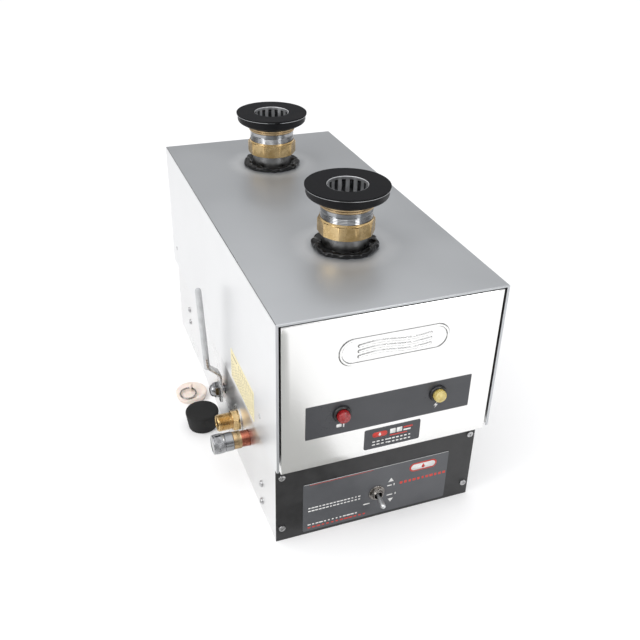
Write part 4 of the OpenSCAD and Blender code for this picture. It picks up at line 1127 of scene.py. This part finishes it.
HEAD, HEAD_R, SHANK_R, RECESS_R, MOST_TURN = 2.2, 3.9, 2, 2.4, 3.0
panel_spots = [(((low.x + high.x) / 2, low.y + HEAD * MM, (low.z + high.z) / 2), (0, -1, 0))
               for low, high in islands("panel_screws")]
cover_spots = [(((low.x + high.x) / 2, (low.y + high.y) / 2, low.z + HEAD * MM), (0, 0, -1))
               for low, high in islands("cover_screws")]
for name, node, spots, shank, seed in (
        ("side_wall_screws", "side_screws", side_spots("side_screws", HEAD), 7, 5),
        ("panel_plate_screws", "panel_screws", panel_spots, 9, 8),
        ("cover_lip_screws", "cover_screws", cover_spots, 4, 2)):
    screw = screw_head(HEAD_R, HEAD, SHANK_R, shank, RECESS_R)
    screws = stand(screw, spots, fastener, MOST_TURN, seed)
    piece(name, screws, [fastener], [node], turn_out=False)
bm = bmesh.new()
turn(bm, [(0, 0.9), (0.9, 0.86), (1.9, 0.66), (2.7, 0.34), (3.15, 0.08), (3.15, 0), (2, 0), (2, -2.4), (3, -2.4),
          (3, -3.6), (2.6, -3.9), (0, -3.9)], 40)
piece("casing_rivet_heads", stand(bm, side_spots("casing_rivets", 0.9), fastener), [fastener], ["casing_rivets"],
      turn_out=False)

# %% [markdown]
# The left side carries the plumbing. The drain outlet is a brass fitting with a true thread, a
# hexagon and a washer. Beside it a copper tube ends in a slotted cap. The part of the drain outlet
# that runs inside the base box is the CAD shape, cut at the wall and closed; the copper tube keeps
# its whole CAD shape, with eased edges.
# %% Drain outlet
outlet_low, outlet_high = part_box("drain_outlet")
cap_low, cap_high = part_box("fill_cap")
OUTLET_REACH, WASHER_R = 27, 19
wall_x = outlet_low.x + OUTLET_REACH * MM
outlet_y, fitting_z = outlet_low.y + WASHER_R * MM, (outlet_low.z + outlet_high.z) / 2
outlet_place = along((wall_x, outlet_y, fitting_z), (-1, 0, 0))
PITCH, ROOT, CREST = 1.8, 9.55, 10.6
bm = cad_copy("drain_outlet")
cut_at = wall_x + 0.6 * MM
sliced = bmesh.ops.bisect_plane(bm, geom=bm.verts[:] + bm.edges[:] + bm.faces[:], plane_co=(cut_at, 0, 0),
                                plane_no=(-1, 0, 0), clear_outer=True, dist=1e-7)
bmesh.ops.bridge_loops(bm, edges=[g for g in sliced["geom_cut"] if isinstance(g, bmesh.types.BMEdge)])
turn(bm, [(8, 0), (8, 25.8), (8.9, 26.9), (9.35, 26.9), (ROOT, 26.4)], 128, outlet_place)
ridges(bm, ROOT, CREST - ROOT, 10.2, 26.4, pitch=PITCH, around=128, along_steps=108, fade=1.4, place=outlet_place)
turn(bm, [(ROOT, 10.2), (ROOT, 9.2), (9.5, 9.0), (9.5, 0), (8, 0)], 128, outlet_place)
nut(bm, 13.5, 1.55, 9.0, 9.45, outlet_place)
turn(bm, eased([(9.45, 0.02), (WASHER_R, 0.02), (WASHER_R, 1.5), (9.45, 1.5)], 0.3), 128, outlet_place, paint=1)
piece("drain_outlet_fitting", bm, [brass, zinc], ["drain_outlet"])

# %% Copper tube and its cap
bm = cad_copy("fill_tube")
ease_edges(bm, 0.3, 2)
COLLAR_START, COLLAR_END = 9.6, 19.4
for face in bm.faces:
    depth = (wall_x - face.calc_center_median().x) / MM
    face.material_index = 1 if COLLAR_START < depth < COLLAR_END else 0
piece("copper_fill_tube", bm, [copper, brass_dull], ["fill_tube"], weld=0)
cap_mid = (cap_low + cap_high) / 2
cap_place = along((wall_x, cap_mid.y, cap_mid.z), (-1, 0, 0))
bm = bmesh.new()
KNURL_LOW, KNURL_HIGH, KNURL_ROOT = 31.0, 41.0, 11.22
turn(bm, [(KNURL_ROOT, KNURL_HIGH), (11.45, 41.6), (11.1, 42.5), (10.2, 42.95), (8.6, 43), (8.2, 42.6), (0, 42.5)],
     144, cap_place)
ridges(bm, KNURL_ROOT, 0.34, KNURL_LOW, KNURL_HIGH, count=48, around=288, along_steps=4, fade=0.8, place=cap_place)
turn(bm, [(9.56, 19.6), (10.7, 19.6), (11, 20), (11, 28.6), (10.5, 29), (10.5, 29.5), (11.35, 29.9), (11.45, 30.5),
          (KNURL_ROOT, KNURL_LOW)], 144, cap_place)
turn(bm, [(9.56, 19.6), (9.56, 32.2), (0, 32.2)], 144, cap_place)
cap = piece("fill_tube_cap", bm, [chrome], ["fill_cap"])
SLOT_OUT, SLOT_UP, SLOT_SIZE = 36, 11.2, (6.5, 2.6, 5)
cut_slot(cap, Vector((wall_x - SLOT_OUT * MM, cap_mid.y, cap_mid.z + SLOT_UP * MM)), SLOT_SIZE)

# %% [markdown]
# The drain lever is a flat steel bar with a jog that takes the handle clear of the casing,
# dipped in a grey sleeve. Sheet and bar are bent, so both bends are round, and the sleeve has
# a rolled lip at its open end. A domed nut holds it on the valve's stem.
# %% Drain lever
stem_low, stem_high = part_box("valve_ball")
valve_y = (stem_low.y + stem_high.y) / 2
HUB_OUT, SLEEVE_FOOT, SLEEVE_LEAN = 4, (-16.7, 0, 35), math.radians(2.6)
hub = Vector((wall_x - HUB_OUT * MM, valve_y, fitting_z))
# The bar's section, in shares of its half width and half thickness.
BAR_SECTION = [(-1, -0.6), (-0.85, -1), (0.85, -1), (1, -0.6), (1, 0.6), (0.85, 1), (-0.85, 1), (-1, 0.6)]


def bar(bm, path, half_width, half_thick, centre):
    """Sweeps a flat bar along (out, up) points in mm, as seen from the front; widths vary along it."""
    rings = []
    for k, (out, up_) in enumerate(path):
        before, after = path[max(k - 1, 0)], path[min(k + 1, len(path) - 1)]
        way = Vector((after[0] - before[0], after[1] - before[1])).normalized()
        across = Vector((way.y, -way.x))
        ring = []
        for side, depth in BAR_SECTION:
            here = Vector((out, up_)) + across * depth * half_thick
            ring.append(bm.verts.new(centre + Vector((-here.x, side * half_width[k], here.y)) * MM))
        rings.append(ring)
    for a, b in zip(rings, rings[1:]):
        for i in range(len(a)):
            bm.faces.new((a[i], a[(i + 1) % len(a)], b[(i + 1) % len(a)], b[i]))
    bm.faces.new(rings[0])
    bm.faces.new(rings[-1])


path = [(1.7, -16), (1.7, -8), (1.7, 0), (1.7, 12), (1.7, 21), (1.9, 23.5), (2.9, 25.6)]
path += [(2.9 + 10.8 * s, 25.6 + 9.6 * s) for s in (0.3, 0.6, 0.9)]
path += [(14.4, 35.6), (15.9, 37.4), (16.7, 39.6), (17.1, 43), (17.9, 60)]
half_width = [7, 8, 8, 8, 7.8, 7.6, 7.2, 6.8, 6.3, 5.8, 5.2, 4.8, 4.4, 4, 3.4]
bm = bmesh.new()
bar(bm, path, half_width, 1.65, hub)
hub_place = along(hub, (-1, 0, 0))
turn(bm, eased([(4.05, 0.05), (11, 0.05), (11, 2.5), (4.05, 2.5)], 0.3), 96, hub_place)
nut(bm, 10.4, 2.55, 10.2, 4.1, hub_place, first_flat=0.3, chamfer=1.2, paint=2)
turn(bm, [(7.9, 9.6), (7.9, 11.4), (7.2, 13.2), (5.8, 14.6), (4.1, 15), (4.1, 9.6), (7.9, 9.6)], 96,
     hub_place, paint=2)
sleeve_place = Matrix.Translation(hub + Vector(SLEEVE_FOOT) * MM) @ Matrix.Rotation(-SLEEVE_LEAN, 4, "Y")
turn(bm, [(2.4, 0.6), (3.6, 0), (3.98, 0.6), (3.98, 1.8), (3.75, 2.6), (3.75, 22), (3.85, 62), (3.85, 108),
          (3.8, 110.4), (3.4, 112.8), (2.6, 114.1), (1.4, 114.8), (0, 115)], 64, sleeve_place, paint=1)
turn(bm, [(2.4, 0.6), (2.4, 4), (0, 4)], 64, sleeve_place, paint=1)
piece("drain_lever_arm", bm, [zinc, vinyl, chrome], ["drain_lever"])

# %% [markdown]
# Two loose stoppers lie beside the heater. The solid one is a moulded black plug with a slight
# draft and a rounded top. The flat one is soft pale rubber with an eye and a thin wire ring.
# %% Stoppers
def middle_of(node):
    """A stopper's foot in metres, and its radius and height in mm."""
    low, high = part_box(node)
    foot = Vector(((low.x + high.x) / 2, (low.y + high.y) / 2, low.z))
    return foot, (high.x - low.x) / MM / 2, (high.z - low.z) / MM


plug_at, plug_r, plug_h = middle_of("solid_stopper")
bm = bmesh.new()
turn(bm, [(0, 0), (plug_r - 4.4, 0), (plug_r - 3.5, 0.3), (plug_r - 3.1, 1.1), (plug_r - 0.9, 16),
          (plug_r, plug_h - 3), (plug_r - 0.1, plug_h - 1.7), (plug_r - 0.6, plug_h - 0.7),
          (plug_r - 1.7, plug_h - 0.1), (plug_r - 3, plug_h), (plug_r - 8, plug_h - 0.25),
          (0, plug_h - 0.3)], 128, Matrix.Translation(plug_at))
piece("black_stopper", bm, [rubber_plug], ["solid_stopper"], angle=50)

disc_at, disc_r, _ = middle_of("disc_stopper")
DISC_TURN, EYE_Z, RING_R, WIRE_R, DROOP = math.radians(-35), 13.5, 10.5, 1.1, math.radians(7)
disc_place = Matrix.Translation(disc_at) @ Matrix.Rotation(DISC_TURN, 4, "Z")
bm = bmesh.new()
turn(bm, [(0, 0), (disc_r - 3.2, 0), (disc_r - 2.4, 0.4), (disc_r - 1.9, 1.4), (disc_r - 0.1, 7), (disc_r, 8.2),
          (disc_r - 0.5, 9.3), (disc_r - 1.8, 9.9), (disc_r - 3.5, 9.95), (disc_r - 6, 9.6), (4.5, 9.5), (3.4, 9.8),
          (2.6, 10.4), (0, 10.6)], 128, disc_place)
eye_place = disc_place @ Matrix.Rotation(math.pi / 2, 4, "Y") @ Matrix.Rotation(math.pi / 2, 4, "Z")
outline = [(3, 9.6), (2.9, 16.6), (2.5, 18.9), (1.5, 20.5), (0, 21), (-1.5, 20.5), (-2.5, 18.9), (-2.9, 16.6),
           (-3, 9.6)]
slab(bm, outline, -1.2, 1.2, eye_place)
disc = piece("pale_stopper", bm, [rubber_pale], ["disc_stopper"], angle=50)
cut(disc, disc_place @ along((0, 0, EYE_Z * MM), (1, 0, 0)), WIRE_R + 0.35, 5)

bm = bmesh.new()
ring_place = disc_place @ Matrix.Translation((0, 0, EYE_Z * MM)) @ Matrix.Rotation(DROOP, 4, "X") \
    @ Matrix.Translation((0, -RING_R * MM, 0))
wire = [(RING_R + WIRE_R * math.cos(2 * math.pi * k / 16), WIRE_R * math.sin(2 * math.pi * k / 16))
        for k in range(17)]
turn(bm, wire, 96, ring_place)
piece("pull_ring", bm, [nickel], ["stopper_ring"], angle=60)

# %% Conduit entry at the back
entry_low, entry_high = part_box("conduit_bushing")
entry = Vector(((entry_low.x + entry_high.x) / 2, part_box("base_tray")[1].y, (entry_low.z + entry_high.z) / 2))
entry_place = along(entry, (0, 1, 0))
bm = bmesh.new()
nut(bm, 14, 0.02, 4, 8.2, entry_place)
turn(bm, [(8, 3.9), (8.4, 4), (10.4, 4), (10.7, 3.7)], 128, entry_place)
ridges(bm, 10.3, 0.6, -8, -1.2, pitch=1.4, around=128, along_steps=48, fade=1.0, place=entry_place)
turn(bm, [(10.3, -1.2), (10.7, -0.6), (10.7, 3.7)], 128, entry_place)
turn(bm, [(8, 3.9), (8, -8), (10.3, -8)], 128, entry_place)
nut(bm, 14, -5, -1.3, 10.95, entry_place, first_flat=0.25, chamfer=0.8)
piece("conduit_entry_bushing", bm, [zinc], ["conduit_bushing"])
